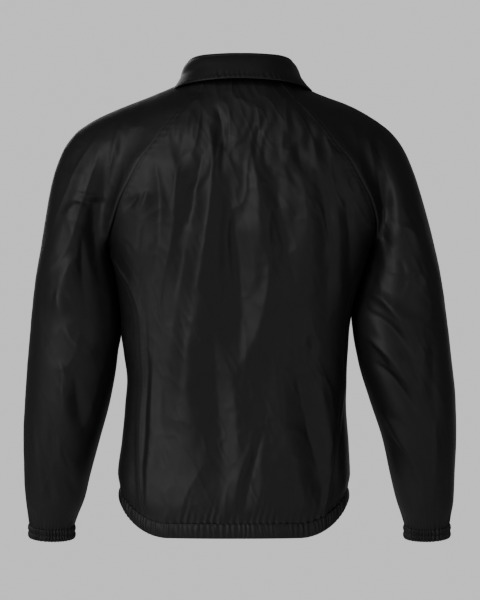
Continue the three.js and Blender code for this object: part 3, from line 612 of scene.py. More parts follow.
def crease_height(creases, x, down):
    """The summed ridges and troughs of a table at points of the plane seen from behind."""
    total = np.zeros_like(x)
    for k in range(len(creases["x0"])):
        row = {name: column[k] for name, column in creases.items()}
        line_x, line_down = crease_line(row)
        room = CREASE_REACH * row["wide"]
        near = (x > line_x.min() - room) & (x < line_x.max() + room)
        near &= (down > line_down.min() - room) & (down < line_down.max() + room)
        if not near.any():
            continue
        near_x, near_down = x[near], down[near]
        away, along, side = beside_line(near_x, near_down, line_x, line_down)
        wobble = 1 + WOBBLE * noise_a(near_x / WOBBLE_SIZE + k, near_down / WOBBLE_SIZE)
        steeper = 1 - LEAN * side * np.sign(row["high"])
        narrow = POINTED + (1 - POINTED) * smooth(-0.1, 0.7, along)
        wide = CREASE_WIDE * row["wide"] * narrow * wobble * steeper
        late = RISE * (1 - row["peak"]) / row["peak"]
        most = row["peak"] ** RISE * (1 - row["peak"]) ** late
        taper = np.clip(along, 0, 1) ** RISE * np.clip(1 - along, 0, 1) ** late / most
        slope = np.sqrt((away / wide) ** 2 + CREASE_ROUND**2) - CREASE_ROUND
        total[near] += row["high"] * taper * np.clip(1 - slope, 0, 1) ** CREASE_FOOT
    return total


def shoulder_diamonds(x, down):
    """The band of uneven diamond-shaped buckles across the shoulder blades."""
    drift = 26 * noise_b(x / 62 + 3, down / 70) + 9 * noise_c(x / 24, down / 33 + 6)
    across, along = (x + drift) / DIAMOND_WIDE, (down + 18 * noise_a(x / 41, 0 * x + 4)) / DIAMOND_LONG
    lattice = np.cos(math.pi * (across + along)) * np.cos(math.pi * (across - along))
    band = smooth(38, 95, down) * smooth(235, 130, down) * smooth(150, 112, np.abs(x + 14))
    uneven = 0.7 + 0.6 * noise_b(x / 33 + 11, down / 47)
    return DIAMOND_HIGH * band * uneven * np.sign(lattice) * np.abs(lattice) ** 0.8


def ridged(noise, x, y):
    """Noise with sharp crests where it passes through nothing."""
    return (1 - 2 * np.abs(noise(x, y))) ** 2


def fine_crumple(x, down):
    """Small uneven ripples that fan out from the neck."""
    spread = x / (1 + np.maximum(0, down) / 500)
    broad = 1.3 * noise_b(spread / 36 + 9, down / 150)
    sharp = 1.1 * ridged(noise_a, spread / 21, down / 88 + 5)
    slanted = 0.5 * ridged(noise_c, (x + 0.5 * down) / 19, (down - 0.4 * x) / 43 + 8)
    small = 0.16 * noise_c(x / 7.5, down / 15 + 2)
    return broad + sharp + slanted + small


def grid_normals(p, flip=False, loop=False):
    if loop:
        across = np.roll(p, -1, axis=1) - np.roll(p, 1, axis=1)
    else:
        across = np.gradient(p, axis=1)
    n = np.cross(across, np.gradient(p, axis=0))
    n /= np.maximum(1e-9, lengths(n))
    return -n if flip else n


def arc(p):
    """How far each point of each row lies along its row."""
    step = lengths(np.diff(p, axis=1))[..., 0]
    return np.concatenate([np.zeros((p.shape[0], 1)), np.cumsum(step, axis=1)], axis=1)


def seam_pucker(distance, along, seed):
    """Puckers beside a stitched seam, fading away from it."""
    beat = np.sin(along / 9.5 * 2 * math.pi + 2.4 * noise_c(along / 31 + seed, along * 0 + seed))
    strength = 0.55 + 0.45 * noise_a(along / 23 + seed, along * 0 + 3)
    raised = 0.35 * smooth(7, 6, distance) * smooth(0.2, 1.4, distance)
    return 0.5 * beat * strength * np.exp(-distance / 8) * smooth(0, 2, distance) + raised


def all_creases(p, n, keep):
    """Moves the points of a panel along their normals by every crease that crosses them."""
    x, down = p[..., 0], -p[..., 2]
    behind, before = np.clip(n[..., 1], 0, 1) ** 0.7, np.clip(-n[..., 1], 0, 1) ** 0.7
    back = crease_height(BACK_CREASES, x, down) + crease_height(BACK_CRUMPLES, x, down)
    back += crease_height(SLEEVE_CREASES, x, down) + shoulder_diamonds(x, down)
    front = crease_height(FRONT_CREASES, x, down)
    fine = fine_crumple(x + 400 * (n[..., 1] < 0), down)
    sides = 0.25 + 0.75 * np.abs(n[..., 1])
    return p + n * (keep * (back * behind + front * before + fine * sides))[..., None]


def grid_quads(rows, columns, flip):
    """The faces of a grid of points, each as four numbers."""
    index = np.arange(rows * columns).reshape(rows, columns)
    a, b, c, d = index[:-1, :-1], index[:-1, 1:], index[1:, 1:], index[1:, :-1]
    return np.stack([a, d, c, b] if flip else [a, b, c, d], axis=-1)


def cloth_object(name, points, loop=False, flip=False):
    """A mesh sheet over a grid of points, with its UVs in metres of cloth."""
    rows, columns = points.shape[:2]
    width = columns + 1 if loop else columns
    corner = grid_quads(rows, width, flip).reshape(-1)
    row, column = corner // width, corner % width % columns
    quads = (row * columns + column).reshape(-1, 4)
    mesh = bpy.data.meshes.new(name)
    mesh.from_pydata((points.reshape(-1, 3) * MM).tolist(), [], quads.tolist())
    mesh.polygons.foreach_set("use_smooth", [True] * len(mesh.polygons))
    across = arc(np.concatenate([points, points[:, :1]], axis=1) if loop else points)
    middle = across[:, across.shape[1] // 2 : across.shape[1] // 2 + 1]
    along = arc(points.transpose(1, 0, 2))[columns // 2][:, None]
    grid_uv = np.stack([(across - middle) * MM, np.broadcast_to(-along, across.shape) * MM], axis=-1)
    layer = mesh.uv_layers.new(name="Cloth")
    layer.data.foreach_set("uv", grid_uv.reshape(-1, 2)[corner].astype(np.float32).reshape(-1))
    mesh.update()
    return linked(name, mesh)


def linked(name, mesh):
    obj = bpy.data.objects.new(name, mesh)
    bpy.context.scene.collection.objects.link(obj)
    return obj


def turned_edge(p, n):
    """Turns the last column of a sheet under itself, as a hemmed edge is."""
    edge, before, out = p[:, -1], p[:, -2], n[:, -1]
    into = (before - edge) / lengths(before - edge)
    curl = [edge + into * far - out * deep for far, deep in EDGE_TURN]
    return np.concatenate([p, np.stack(curl, axis=1)], axis=1)


def touch_shift(side, down):
    """How far a side and the sleeve beside it bulge to meet, down to where they part."""
    word = "left" if side > 0 else "right"
    part_down = PART_DOWN[word]
    along = np.interp(down, ARM["in_down"], np.arange(len(ARM["in_down"])))
    gap = arm["in_" + word](along) - (body["half"](down) + side * body["mid"](down))
    ends, full = (part_down + far for far in PART_FADE)
    return (gap / 2 + TOUCH_OVER) * smooth(*TOUCH_FROM, down) * smooth(ends, full, down)


def press_body(p):
    """Bulges the sides of the body out to the sleeves that rest against them."""
    down = -p[..., 2]
    for side in (1, -1):
        across = side * (p[..., 0] - body["mid"](down)) / body["half"](down)
        p[..., 0] += side * touch_shift(side, down) * smooth(*TOUCH_SIDE, across)
    return p


def tucked(p, n):
    """Runs the last row of a panel on behind the band that is sewn to it."""
    down = (p[-1] - p[-4]) / lengths(p[-1] - p[-4])
    behind = [p[-1] + down * far - n[-1] * deep for far, deep in TUCK]
    return np.concatenate([p, np.stack(behind)], axis=0)


def sided(name, side):
    return name + ("_left" if side > 0 else "_right")


def fine_grid(rows, columns):
    return np.linspace(0, 1, rows)[:, None], np.linspace(0, 1, columns)[None, :]


def hem_gathers(p, down, seed):
    """Gathers of uneven length above the stitch line of the drawn-in hem."""
    along = arc(p)
    beat = np.sin(along / 11 * 2 * math.pi + 2.6 * noise_b(along / 26 + seed, along * 0))
    sharp = np.sign(beat) * np.abs(beat) ** 0.8
    length = 12 + 11 * noise_a(along / 13 + seed, along * 0 + 7)
    strong = 1.1 + 0.6 * noise_c(along / 17 + seed, along * 0)
    return strong * sharp * np.exp(-np.maximum(0, HEM_DOWN - down) / length)


def build_back(settings):
    v, c = fine_grid(*BACK_GRID)
    row = v * (CAP_ROWS + LOW_ROWS - 1)
    p = press_body(back_point(row, c))
    n = grid_normals(p)
    from_right = arc(p)
    from_left = from_right[:, -1:] - from_right
    near = np.minimum(from_right, from_left)
    down = np.broadcast_to(panel_down("seam_back", row), near.shape)
    keep = smooth(*SEAM_FADE, near) * smooth(0, NECK_FADE, down - NECK_BACK) * settings.crease_depth
    extra = seam_pucker(near, down, 4) + hem_gathers(p, down, 3) * smooth(0, GATHER_FADE, near)
    p = all_creases(p, n, keep) + n * extra[..., None]
    GRIDS["back"] = p, grid_normals(p)
    return cloth_object("back_cloth", tucked(p, n))


def build_front(settings, side):
    v, c = fine_grid(*FRONT_GRID)
    row = v * (CAP_ROWS + LOW_ROWS - 1)
    p = press_body(front_point(side, row, c))
    n = grid_normals(p, flip=side < 0)
    from_seam = arc(p)
    to_edge = from_seam[:, -1:] - from_seam
    down = np.broadcast_to(panel_down("seam_front", row), from_seam.shape)
    lap = smooth(*LAP_FLAT, to_edge - LAP_PAST)
    keep = smooth(*SEAM_FADE, from_seam) * lap * smooth(0, NECK_FADE, down - NECK_FRONT)
    keep = keep * settings.crease_depth
    held = lap * smooth(0, GATHER_FADE, from_seam)
    extra = seam_pucker(from_seam, down, 8 + side) + hem_gathers(p, down, 5 + side) * held
    p = all_creases(p, n, keep) + n * extra[..., None]
    GRIDS[sided("front", side)] = p, grid_normals(p, flip=side < 0)
    p = tucked(p, n)
    p = turned_edge(p, grid_normals(p, flip=side < 0))
    return cloth_object(sided("front", side) + "_cloth", p, flip=side < 0)


def eased_underarm(p, row, near):
    """Evens out the turn from the cap to the arm, away from the seams."""
    reach = np.arange(-EVEN_REACH, EVEN_REACH + 1)
    weights = np.exp(-((2 * reach / EVEN_REACH) ** 2))
    weights /= weights.sum()
    padded = np.pad(p, ((EVEN_REACH, EVEN_REACH), (0, 0), (0, 0)), mode="edge")
    even = sum(w * padded[k : k + len(p)] for k, w in enumerate(weights))
    start, full, fading, end = EVEN_ROWS
    here = smooth(start, full, row) * smooth(end, fading, row) * smooth(*EVEN_NEAR, near)
    return mix(p, even, here[..., None])


def build_sleeve(settings, side):
    v, u = fine_grid(*SLEEVE_GRID)
    row = v * (CAP_ROWS - 1 + ARM_ROWS - 1)
    p = sleeve_point(side, row, u)
    beside = smooth(TOUCH_TURN, 0, np.minimum(u, 1 - u)) * (row >= CAP_ROWS - 1)
    p[..., 0] -= side * touch_shift(side, -p[..., 2]) * beside
    from_back = arc(p)
    p = eased_underarm(p, row, np.minimum(from_back, from_back[:, -1:] - from_back))
    n = grid_normals(p, flip=side < 0)
    from_back = arc(p)
    to_front = from_back[:, -1:] - from_back
    near = np.minimum(from_back, to_front)
    above = np.broadcast_to(row < CAP_ROWS - 1, near.shape)
    hold = np.where(above, smooth(*SEAM_FADE, near), smooth(0, ARM_FADE, near))
    to_neck, to_cuff = lengths(p - p[:1, :])[..., 0], lengths(p - p[-1:, :])[..., 0]
    keep = hold * smooth(0, NECK_FADE, to_neck) * smooth(0, ARM_FADE, to_cuff) * settings.crease_depth
    down = -p[..., 2]
    extra = np.where(above, seam_pucker(near, down, 12) * 0.55, 0) + cuff_gathers(u, to_cuff)
    p = tucked(all_creases(p, n, keep) + n * extra[..., None], n)
    return cloth_object(sided("sleeve", side) + "_cloth", p, flip=side < 0)


def cuff_beat(angle):
    """The uneven waves round a cuff, which its band and the sleeve above it share."""
    return np.sin(CUFF_WAVES * angle + 1.3 * np.sin(5 * angle) + 0.8 * np.sin(11 * angle + 1))


def cuff_gathers(turn, away):
    """Gathers that the elastic draws up, fading up the sleeve over uneven lengths."""
    angle = turn * 2 * math.pi
    length = 14 + 7 * np.sin(7 * angle + 1) + 5 * np.sin(13 * angle)
    strong = 1 + 0.35 * np.sin(9 * angle + 2)
    return CUFF_WAVE_HIGH * strong * cuff_beat(angle) * np.exp(-away / np.maximum(6, length))


def band_way(v, turn_at, soft):
    """Where a band's rows lie: down its outside, back up inside, and how far they are inside it."""
    outside = np.minimum(v / turn_at, 1)
    back_up = np.maximum(0, v - turn_at) / (1 - turn_at)
    return outside, back_up, smooth(turn_at - 0.02, turn_at + soft, v)


def build_cuff(side):
    """The elastic band: down its outside, round its lower edge and part of the way up inside."""
    rows, columns = CUFF_GRID
    v = np.linspace(0, 1, rows)[:, None]
    turn = (np.arange(columns) / columns)[None, :]
    last = len(ARM["left"]) - 1
    at = np.full((1, columns), float(last))
    p0 = arm_point(side, at, turn)
    above = arm_point(side, at - 0.6, turn)
    centre = p0.mean(axis=1, keepdims=True)
    down = p0 - above
    down[..., 0] = 0
    down /= lengths(down)
    down[..., 1] *= CUFF_LEAN
    out = (p0 - centre) / lengths(p0 - centre)
    way, up, inside = band_way(v, CUFF_TURN, 0.04)
    along = (CUFF_HEIGHT + BAND_OVER + CUFF_BELOW) * way - CUFF_UP * CUFF_HEIGHT * up - BAND_OVER
    channel = np.abs(np.sin(math.pi * 2 * way))
    puff = (BAND_OUT + CUFF_PUFF * channel**0.7) * (1 - inside) - CUFF_IN * inside
    wave = CUFF_WAVE_HIGH * cuff_beat(turn * 2 * math.pi) * (0.75 + 0.35 * channel) * (1 - 0.5 * inside)
    p = p0 + down * along[..., None] + out * (puff + wave)[..., None]
    GRIDS[sided("cuff", side)] = p, grid_normals(p, flip=side < 0, loop=True)
    return cloth_object(sided("cuff", side) + "_cloth", p, loop=True, flip=side < 0)


def build_casing(name, start, end, lapped, flip):
    """The hem casing: down its outside, round its lower edge and back up inside."""
    v, c = fine_grid(*CASING_GRID)
    quarter = mix(start, end, c)
    way, up, inside = band_way(v, CASING_TURN, 0.05)
    down = HEM_DOWN - BAND_OVER + (CASING + BAND_OVER) * (way - CASING_UP * up)
    flat = body_point(quarter, np.full_like(quarter, HEM_DOWN))
    along = arc(flat)
    beat = np.sin(along / 9 * 2 * math.pi + 3 * noise_b(along / 21 + 2, along * 0 + 1))
    slant = np.sin((along + 5 * way) / 6.2 * 2 * math.pi + 2 * noise_c(along / 15, along * 0))
    strong = 0.9 + 0.9 * noise_a(along / 19, along * 0 + 2)
    ends = smooth(0, 6, along) * smooth(0, 6, along[:, -1:] - along)
    shape = np.sin(math.pi * way) ** 0.6
    wave = (strong * beat * (0.32 + 0.2 * shape) + 0.26 * slant * shape) * ends * (1 - 0.6 * inside)
    puff = (BAND_OUT + CASING_PUFF * shape) * (1 - inside) - CASING_IN * inside
    centre = (2 - np.abs(quarter)) * (math.pi / 2) * body["half"](HEM_DOWN)
    raised = LAP_RAISE * CASING_LAP * smooth(LAP_FADE, LAP_PAST, centre) if lapped else 0.0
    p = body_point(quarter, down, puff + wave + raised)
    GRIDS[name] = p, grid_normals(p, flip=flip)
    return cloth_object(name, p, flip=flip)


def neck_half(side):
    """Points of the neck seam from the centre back to one front, at columns of the solids' sections."""
    top = np.array(0.0)
    points = []
    for j in range(BACK_COLUMNS // 2, BACK_COLUMNS + 1, 2):
        column = j if side > 0 else BACK_COLUMNS - j
        points.append(back_point(top, np.array(column / BACK_COLUMNS)))
    for j in range(4, SLEEVE_COLUMNS, 4):
        points.append(sleeve_point(side, top, np.array(j / SLEEVE_COLUMNS)))
    for j in range(0, FRONT_COLUMNS + 1, 2):
        p = front_point(side, top, np.array(j / FRONT_COLUMNS))
        if (p[0] - body["mid"](NECK_CENTRE)) * side > COLLAR_OPEN:
            points.append(p)
    return points


def through(points, at):
    """A smooth line through points, read by a point's number."""
    count = len(points)
    i = np.clip(np.floor(at).astype(int), 0, count - 2)
    t = (at - i)[..., None]
    q = [points[np.clip(i + k, 0, count - 1)] for k in (-1, 0, 1, 2)]
    a = 2 * q[1] + (q[2] - q[0]) * t
    b = (2 * q[0] - 5 * q[1] + 4 * q[2] - q[3]) * t**2
    c = (3 * q[1] - q[0] - 3 * q[2] + q[3]) * t**3
    return (a + b + c) / 2


def panel_tree(objects):
    """The points of the finished panels with their normals, for the collar to lie on."""
    places = []
    for obj in objects:
        mesh = obj.data
        co = np.empty(len(mesh.vertices) * 3, np.float32)
        no = np.empty(len(mesh.vertices) * 3, np.float32)
        mesh.vertices.foreach_get("co", co)
        mesh.vertex_normals.foreach_get("vector", no)
        co, no = co.reshape(-1, 3)[::PANELS_EACH], no.reshape(-1, 3)[::PANELS_EACH]
        high = co[:, 2] > PANELS_HIGH
        places.append((co[high], no[high]))
    co = np.concatenate([a for a, _ in places])
    no = np.concatenate([b for _, b in places])
    tree = KDTree(len(co))
    for k, point in enumerate(co):
        tree.insert(point, k)
    tree.balance()
    return tree, no


def eased_along(p, times):
    """Smooths each row of points or ways along itself, holding its ends."""
    for _ in range(times):
        p = np.concatenate([p[:, :1], (p[:, :-2] + 2 * p[:, 1:-1] + p[:, 2:]) / 4, p[:, -1:]], axis=1)
    return p


def build_collar(panels):
    """One folded sheet: up the stand, over the fold and down the fall, with its under side behind it."""
    v, c = np.broadcast_arrays(*fine_grid(*COLLAR_GRID))
    base = np.array(neck_half(1)[:0:-1] + neck_half(-1))
    at = c * (len(base) - 1)
    seam = through(base, at)
    tangent = through(base, np.minimum(at + 0.5, len(base) - 1)) - through(base, np.maximum(at - 0.5, 0))
    outward = np.stack([tangent[..., 1], -tangent[..., 0], 0 * at], axis=-1)
    outward = eased_along(outward / lengths(outward), EASE_WAY)
    outward /= lengths(outward)
    line = eased_along(seam, EASE_LINE)
    round_way = np.abs(c - 0.5) * 2
    side = np.sign(0.5 - c)
    get = {name: read(round_way) for name, read in collar.items()}
    up = np.zeros_like(seam)
    up[..., 2] = 1
    rise = (get["stand"] - COLLAR_FOLD)[..., None]
    start = eased_along(seam, EASE_SEAM) - up * STAND_TUCK - outward * STAND_IN
    top = line - outward * get["lean"][..., None] + up * rise
    stand = mix(start, top, np.minimum(1, v / STAND_END)[..., None])
    turn = np.clip((v - STAND_END) / (FOLD_END - STAND_END), 0, 1) * math.pi
    over = top + outward * (COLLAR_FOLD * (1 - np.cos(turn)))[..., None]
    over += up * (COLLAR_FOLD * np.sin(turn))[..., None]
    t = np.clip((v - FOLD_END) / (1 - FOLD_END), 0, 1)
    spread = (get["spread"] * t**FALL_CURVE)[..., None]
    fall = top + outward * (2 * COLLAR_FOLD) + outward * spread - up * (get["drop"] * t)[..., None]
    fall[..., 0] += side * get["swing"] * t
    p = np.where((v < STAND_END)[..., None], stand, np.where((v < FOLD_END)[..., None], over, fall))
    p = lift_off(p, t, panels)
    p = mix(p, eased_along(p, EASE_FALL), smooth(0, 0.5, t)[..., None])
    n = -grid_normals(p)
    edge = (1 - t) * np.maximum(get["drop"], 1)
    along = arc(p[-1:])
    pucker = np.sin(along / 8.5 * 2 * math.pi + 2.6 * noise_b(along / 19 + 4, along * 0))
    strong = 0.5 + 0.4 * noise_a(along / 15, along * 0 + 4)
    pucker = pucker * strong * np.exp(-(((edge - 6) / 5) ** 2)) * smooth(0, 0.2, t)
    roll = 1.6 * noise_c(along / 42, edge / 40 + 3) * smooth(0, 0.4, t)
    ridge = 0.5 * smooth(6.5, 5, edge) * smooth(0, 1.5, edge) * smooth(0.5, 0.7, t)
    outer = p + n * (COLLAR_THICK + pucker + roll + ridge)[..., None]
    under = p + n * (0.4 * (pucker + roll))[..., None]
    GRIDS["collar"] = outer, n
    return collar_object(outer, under)


def lift_off(p, t, panels):
    """Lifts the fall of the collar off the panels, smoothly."""
    tree, normals = panel_tree(panels)
    for _ in range(LIFT_TIMES):
        moved = np.zeros_like(p)
        for i in range(p.shape[0]):
            if t[i, 0] <= 0:
                continue
            for j in range(p.shape[1]):
                q = Vector(p[i, j] * MM)
                for co, k, distance in tree.find_n(q, 3):
                    out = normals[k]
                    short = COLLAR_CLEAR - float(np.dot(np.array(q - co), out)) / MM
                    if short > 0 and distance < LIFT_NEAR:
                        step = out * short
                        moved[i, j] += step
                        q = q + Vector(step * MM)
        moved = eased_along(moved, LIFT_EASE[0])
        moved = eased_along(moved.transpose(1, 0, 2), LIFT_EASE[1]).transpose(1, 0, 2)
        p = p + moved * (t > 0)[..., None]
    return p


def collar_object(outer, under):
    """The collar's two faces and its edges as one closed mesh."""
    ring = np.concatenate([outer, under[::-1]], axis=0)
    rows, columns = ring.shape[:2]
    index = np.arange(rows * columns).reshape(rows, columns)
    quads = (grid_quads(rows + 1, columns, flip=True).reshape(-1, 4) % (rows * columns)).tolist()
    for i in range(rows // 2 - 1):
        low, high = rows - 1 - i, rows - 2 - i
        quads.append([index[i, 0], index[low, 0], index[high, 0], index[i + 1, 0]][::-1])
        quads.append([index[i, -1], index[low, -1], index[high, -1], index[i + 1, -1]])
    mesh = bpy.data.meshes.new("collar_cloth")
    mesh.from_pydata((ring.reshape(-1, 3) * MM).tolist(), [], quads)
    mesh.polygons.foreach_set("use_smooth", [True] * len(mesh.polygons))
    layer = mesh.uv_layers.new(name="Cloth")
    place = ring.reshape(-1, 3)[:, [0, 2]] * MM
    loops = np.empty(len(mesh.loops), np.int32)
    mesh.loops.foreach_get("vertex_index", loops)
    layer.data.foreach_set("uv", place[loops].astype(np.float32).reshape(-1))
    mesh.update()
    return linked("collar_cloth", mesh)


# Stitches and snaps


def inset_line(grid, far, from_end=False):
    """The line on a face that runs a set distance from its first or last column."""
    p, n = grid
    if from_end:
        p, n = p[:, ::-1], n[:, ::-1]
    at = arc(p)
    j = np.clip((at < far).sum(axis=1) - 1, 0, p.shape[1] - 2)
    i = np.arange(p.shape[0])
    t = ((far - at[i, j]) / (at[i, j + 1] - at[i, j]))[:, None]
    return mix(p[i, j], p[i, j + 1], t), n[i, j]


def across_line(grid, row):
    """The line on a face along one of its rows."""
    p, n = grid
    return p[row], n[row]


def resample(line, step):
    """The points and ways out of a line at even steps along it."""
    points = line[0]
    far = np.concatenate([[0], np.cumsum(lengths(np.diff(points, axis=0))[:, 0])])
    at = np.arange(0, far[-1], step)
    return [np.stack([np.interp(at, far, values[:, k]) for k in range(3)], axis=-1) for values in line]


def add_stitches(name, lines):
    """Threads along lines: each stitch is a small prism that dips into the cloth at both ends."""
    corners, faces = [], []
    for line in lines:
        points, normals = resample(line, STITCH + STITCH_GAP)
        for k in range(len(points) - 1):
            way = points[k + 1] - points[k]
            way /= np.linalg.norm(way)
            out = normals[k] / np.linalg.norm(normals[k])
            beside = np.cross(way, out)
            first = len(corners)
            for far, high in STITCH_BEND:
                middle = points[k] + way * STITCH * far + out * (high * THREAD + STITCH_OUT)
                for turn in range(4):
                    angle = turn * math.pi / 2
                    side = beside * math.cos(angle) + out * math.sin(angle)
                    corners.append((middle + side * THREAD) * MM)
            for ring in range(3):
                for turn in range(4):
                    a, b = first + 4 * ring + turn, first + 4 * ring + (turn + 1) % 4
                    faces.append((a, b, b + 4, a + 4))
    mesh = bpy.data.meshes.new(name)
    mesh.from_pydata([tuple(c) for c in corners], [], faces)
    mesh.polygons.foreach_set("use_smooth", [True] * len(faces))
    mesh.uv_layers.new(name="Cloth")
    return linked(name, mesh)


def snap_cap(name, place, out):
    """A pressed snap cap: a rounded rim round a shallow dish."""
    steps = 40
    corners = [Vector((0, 0, SNAP_PROFILE[0][1]))]
    for radius, high in SNAP_PROFILE[1:]:
        for k in range(steps):
            angle = 2 * math.pi * k / steps
            corners.append(Vector((radius * math.cos(angle), radius * math.sin(angle), high)))
    faces = [(0, 1 + k, 1 + (k + 1) % steps) for k in range(steps)]
    for ring in range(len(SNAP_PROFILE) - 2):
        for k in range(steps):
            a, b = 1 + ring * steps + k, 1 + ring * steps + (k + 1) % steps
            faces.append((a, a + steps, b + steps, b))
    faces.append([1 + (len(SNAP_PROFILE) - 2) * steps + k for k in range(steps)][::-1])
    mesh = bpy.data.meshes.new(name)
    turn = Vector(out).to_track_quat("Z", "X").to_matrix()
    mesh.from_pydata([tuple(turn @ (corner * MM) + Vector(place)) for corner in corners], [], faces)
    mesh.polygons.foreach_set("use_smooth", [True] * len(faces))
    return linked(name, mesh)


# Materials

WEAVE_THREAD, WEAVE_HIGH = 2200.0, 0.12  # how fine the weave is, and its height beside the crinkle's
CRINKLE = 70.0
TONE_SPREAD, GLOSS_SPREAD = (0.75, 1.3), (-0.06, 0.08)  # how the mottle changes the colour and the gloss
BUMP = {"Strength": 0.35, "Distance": 0.0006}
SHEEN = 0.4


def new_node(nodes, kind, values=None, operation=None):
    """A shader node with its operation and the values of some of its inputs."""
    node = nodes.new(kind)
    if operation:
        node.operation = operation
    for name, value in (values or {}).items():
        node.inputs[name].default_value = value
    return node


def new_material(name):
    """A material with its nodes, its links and its shader."""
    material = bpy.data.materials.new(name)
    material.use_nodes = True
    nodes = material.node_tree.nodes
    return material, nodes, material.node_tree.links, nodes["Principled BSDF"]


def weave_group():
    """A fine plain weave and faint crinkle for coated nylon: a height and a mottle mask."""
    name = "Nylon weave"
    if name in bpy.data.node_groups:
        return bpy.data.node_groups[name]
    group = bpy.data.node_groups.new(name, "ShaderNodeTree")
    for socket, value in (("Thread", WEAVE_THREAD), ("Crinkle", CRINKLE)):
        made = group.interface.new_socket(socket, in_out="INPUT", socket_type="NodeSocketFloat")
        made.default_value = value
    for socket in ("Height", "Mottle"):
        group.interface.new_socket(socket, in_out="OUTPUT", socket_type="NodeSocketFloat")
    nodes, links = group.nodes, group.links
    given, result = nodes.new("NodeGroupInput"), nodes.new("NodeGroupOutput")
    place = nodes.new("ShaderNodeUVMap")
    place.uv_map = "Cloth"
    split = nodes.new("ShaderNodeSeparateXYZ")
    links.new(place.outputs["UV"], split.inputs[0])
    waves = []
    for axis in ("X", "Y"):
        scaled = new_node(nodes, "ShaderNodeMath", operation="MULTIPLY")
        links.new(split.outputs[axis], scaled.inputs[0])
        links.new(given.outputs["Thread"], scaled.inputs[1])
        wave = new_node(nodes, "ShaderNodeMath", operation="SINE")
        links.new(scaled.outputs[0], wave.inputs[0])
        waves.append(wave)
    woven = new_node(nodes, "ShaderNodeMath", operation="MULTIPLY")
    links.new(waves[0].outputs[0], woven.inputs[0])
    links.new(waves[1].outputs[0], woven.inputs[1])
    grain = new_node(nodes, "ShaderNodeTexNoise", {"Detail": 5.0, "Roughness": 0.62})
    links.new(place.outputs["UV"], grain.inputs["Vector"])
    links.new(given.outputs["Crinkle"], grain.inputs["Scale"])
    added = new_node(nodes, "ShaderNodeMath", {1: WEAVE_HIGH}, "MULTIPLY_ADD")
    links.new(woven.outputs[0], added.inputs[0])
    links.new(grain.outputs["Fac"], added.inputs[2])
    links.new(added.outputs[0], result.inputs["Height"])
    links.new(grain.outputs["Fac"], result.inputs["Mottle"])
    return group


def nylon(name, colour, roughness):
    """Black coated nylon: a tight weave with a soft, broad gloss."""
    material, nodes, links, shader = new_material(name)
    weave = nodes.new("ShaderNodeGroup")
    weave.node_tree = weave_group()
    weave.inputs["Thread"].default_value = WEAVE_THREAD
    weave.inputs["Crinkle"].default_value = CRINKLE
    tone = nodes.new("ShaderNodeMix")
    tone.data_type = "RGBA"
    for end, share in zip("AB", TONE_SPREAD):
        tone.inputs[end].default_value = (*[part * share for part in colour], 1)
    links.new(weave.outputs["Mottle"], tone.inputs["Factor"])
    links.new(tone.outputs["Result"], shader.inputs["Base Color"])
    dull, bright = (roughness + part for part in GLOSS_SPREAD)
    gloss = new_node(nodes, "ShaderNodeMapRange", {"To Min": dull, "To Max": bright})
    links.new(weave.outputs["Mottle"], gloss.inputs["Value"])
    links.new(gloss.outputs["Result"], shader.inputs["Roughness"])
    bump = new_node(nodes, "ShaderNodeBump", BUMP)
    links.new(weave.outputs["Height"], bump.inputs["Height"])
    links.new(bump.outputs["Normal"], shader.inputs["Normal"])
    shader.inputs["Specular IOR Level"].default_value = SHEEN
    return material


def snap_material():
    """Smooth black paint on the pressed caps, a little worn."""
    material, nodes, links, shader = new_material("Black snap cap")
    speck = new_node(nodes, "ShaderNodeTexNoise", {"Scale": 900.0})
    worn = new_node(nodes, "ShaderNodeMapRange", {"To Min": 0.24, "To Max": 0.4})
    links.new(speck.outputs["Fac"], worn.inputs["Value"])
    links.new(worn.outputs["Result"], shader.inputs["Roughness"])
    shader.inputs["Base Color"].default_value = (0.014, 0.014, 0.015, 1)
    return material


def finish_piece(obj, node, material):
    """Gives a piece its material and puts it in its solid's place."""
    obj.data.materials.append(material)
    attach(obj, "root")
    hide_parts(node)
    return obj


# Settings, operators and panel


class JacketCloth(bpy.types.PropertyGroup):
    """How the nylon looks and hangs"""

    colour: bpy.props.FloatVectorProperty(
        name="Cloth colour", description="Colour of the nylon", subtype="COLOR", size=3,
        default=(0.0055, 0.0055, 0.006), min=0, max=1,
    )
    roughness: bpy.props.FloatProperty(
        name="Roughness", description="How dull the nylon is", subtype="FACTOR", default=0.55, min=0.1, max=1,
    )
    crease_depth: bpy.props.FloatProperty(
        name="Crease depth", description="How deep the creases are, 1 as photographed", subtype="FACTOR",
        default=1.0, min=0, max=1.5,
    )


class JacketStage(bpy.types.PropertyGroup):
    """Camera and studio"""

    distance: bpy.props.FloatProperty(
        name="Camera distance", description="From the camera to the jacket", default=5.0, unit="LENGTH",
    )
    field: bpy.props.FloatProperty(
        name="Field height", description="Height of the view at the jacket", default=0.984, unit="LENGTH",
    )
    surround: bpy.props.FloatProperty(
        name="Surround", description="Strength of the even light from all round", default=0.1, min=0,
    )
    centre: bpy.props.FloatVectorProperty(
        name="View centre", description="What the camera looks at", size=3, default=(-0.003, 0.0, -0.3677),
        subtype="TRANSLATION", unit="LENGTH",
    )


def cloth_material():
    name = "Black coated nylon"
    settings = bpy.context.scene.jacket_cloth
    return bpy.data.materials.get(name) or nylon(name, settings.colour, settings.roughness)


class JACKET_OT_back(bpy.types.Operator):
    """Makes the back panel"""

    bl_idname = "jacket.back"
    bl_label = "Back"

    def execute(self, context):
        obj = finish_piece(build_back(context.scene.jacket_cloth), "back", cloth_material())
        return {"FINISHED"}


class JACKET_OT_fronts(bpy.types.Operator):
    """Makes the two fronts, the left one lapped over the right"""

    bl_idname = "jacket.fronts"
    bl_label = "Fronts"

    def execute(self, context):
        for side, node in ((1, "front_left"), (-1, "front_right")):
            obj = finish_piece(build_front(context.scene.jacket_cloth, side), node, cloth_material())
        return {"FINISHED"}


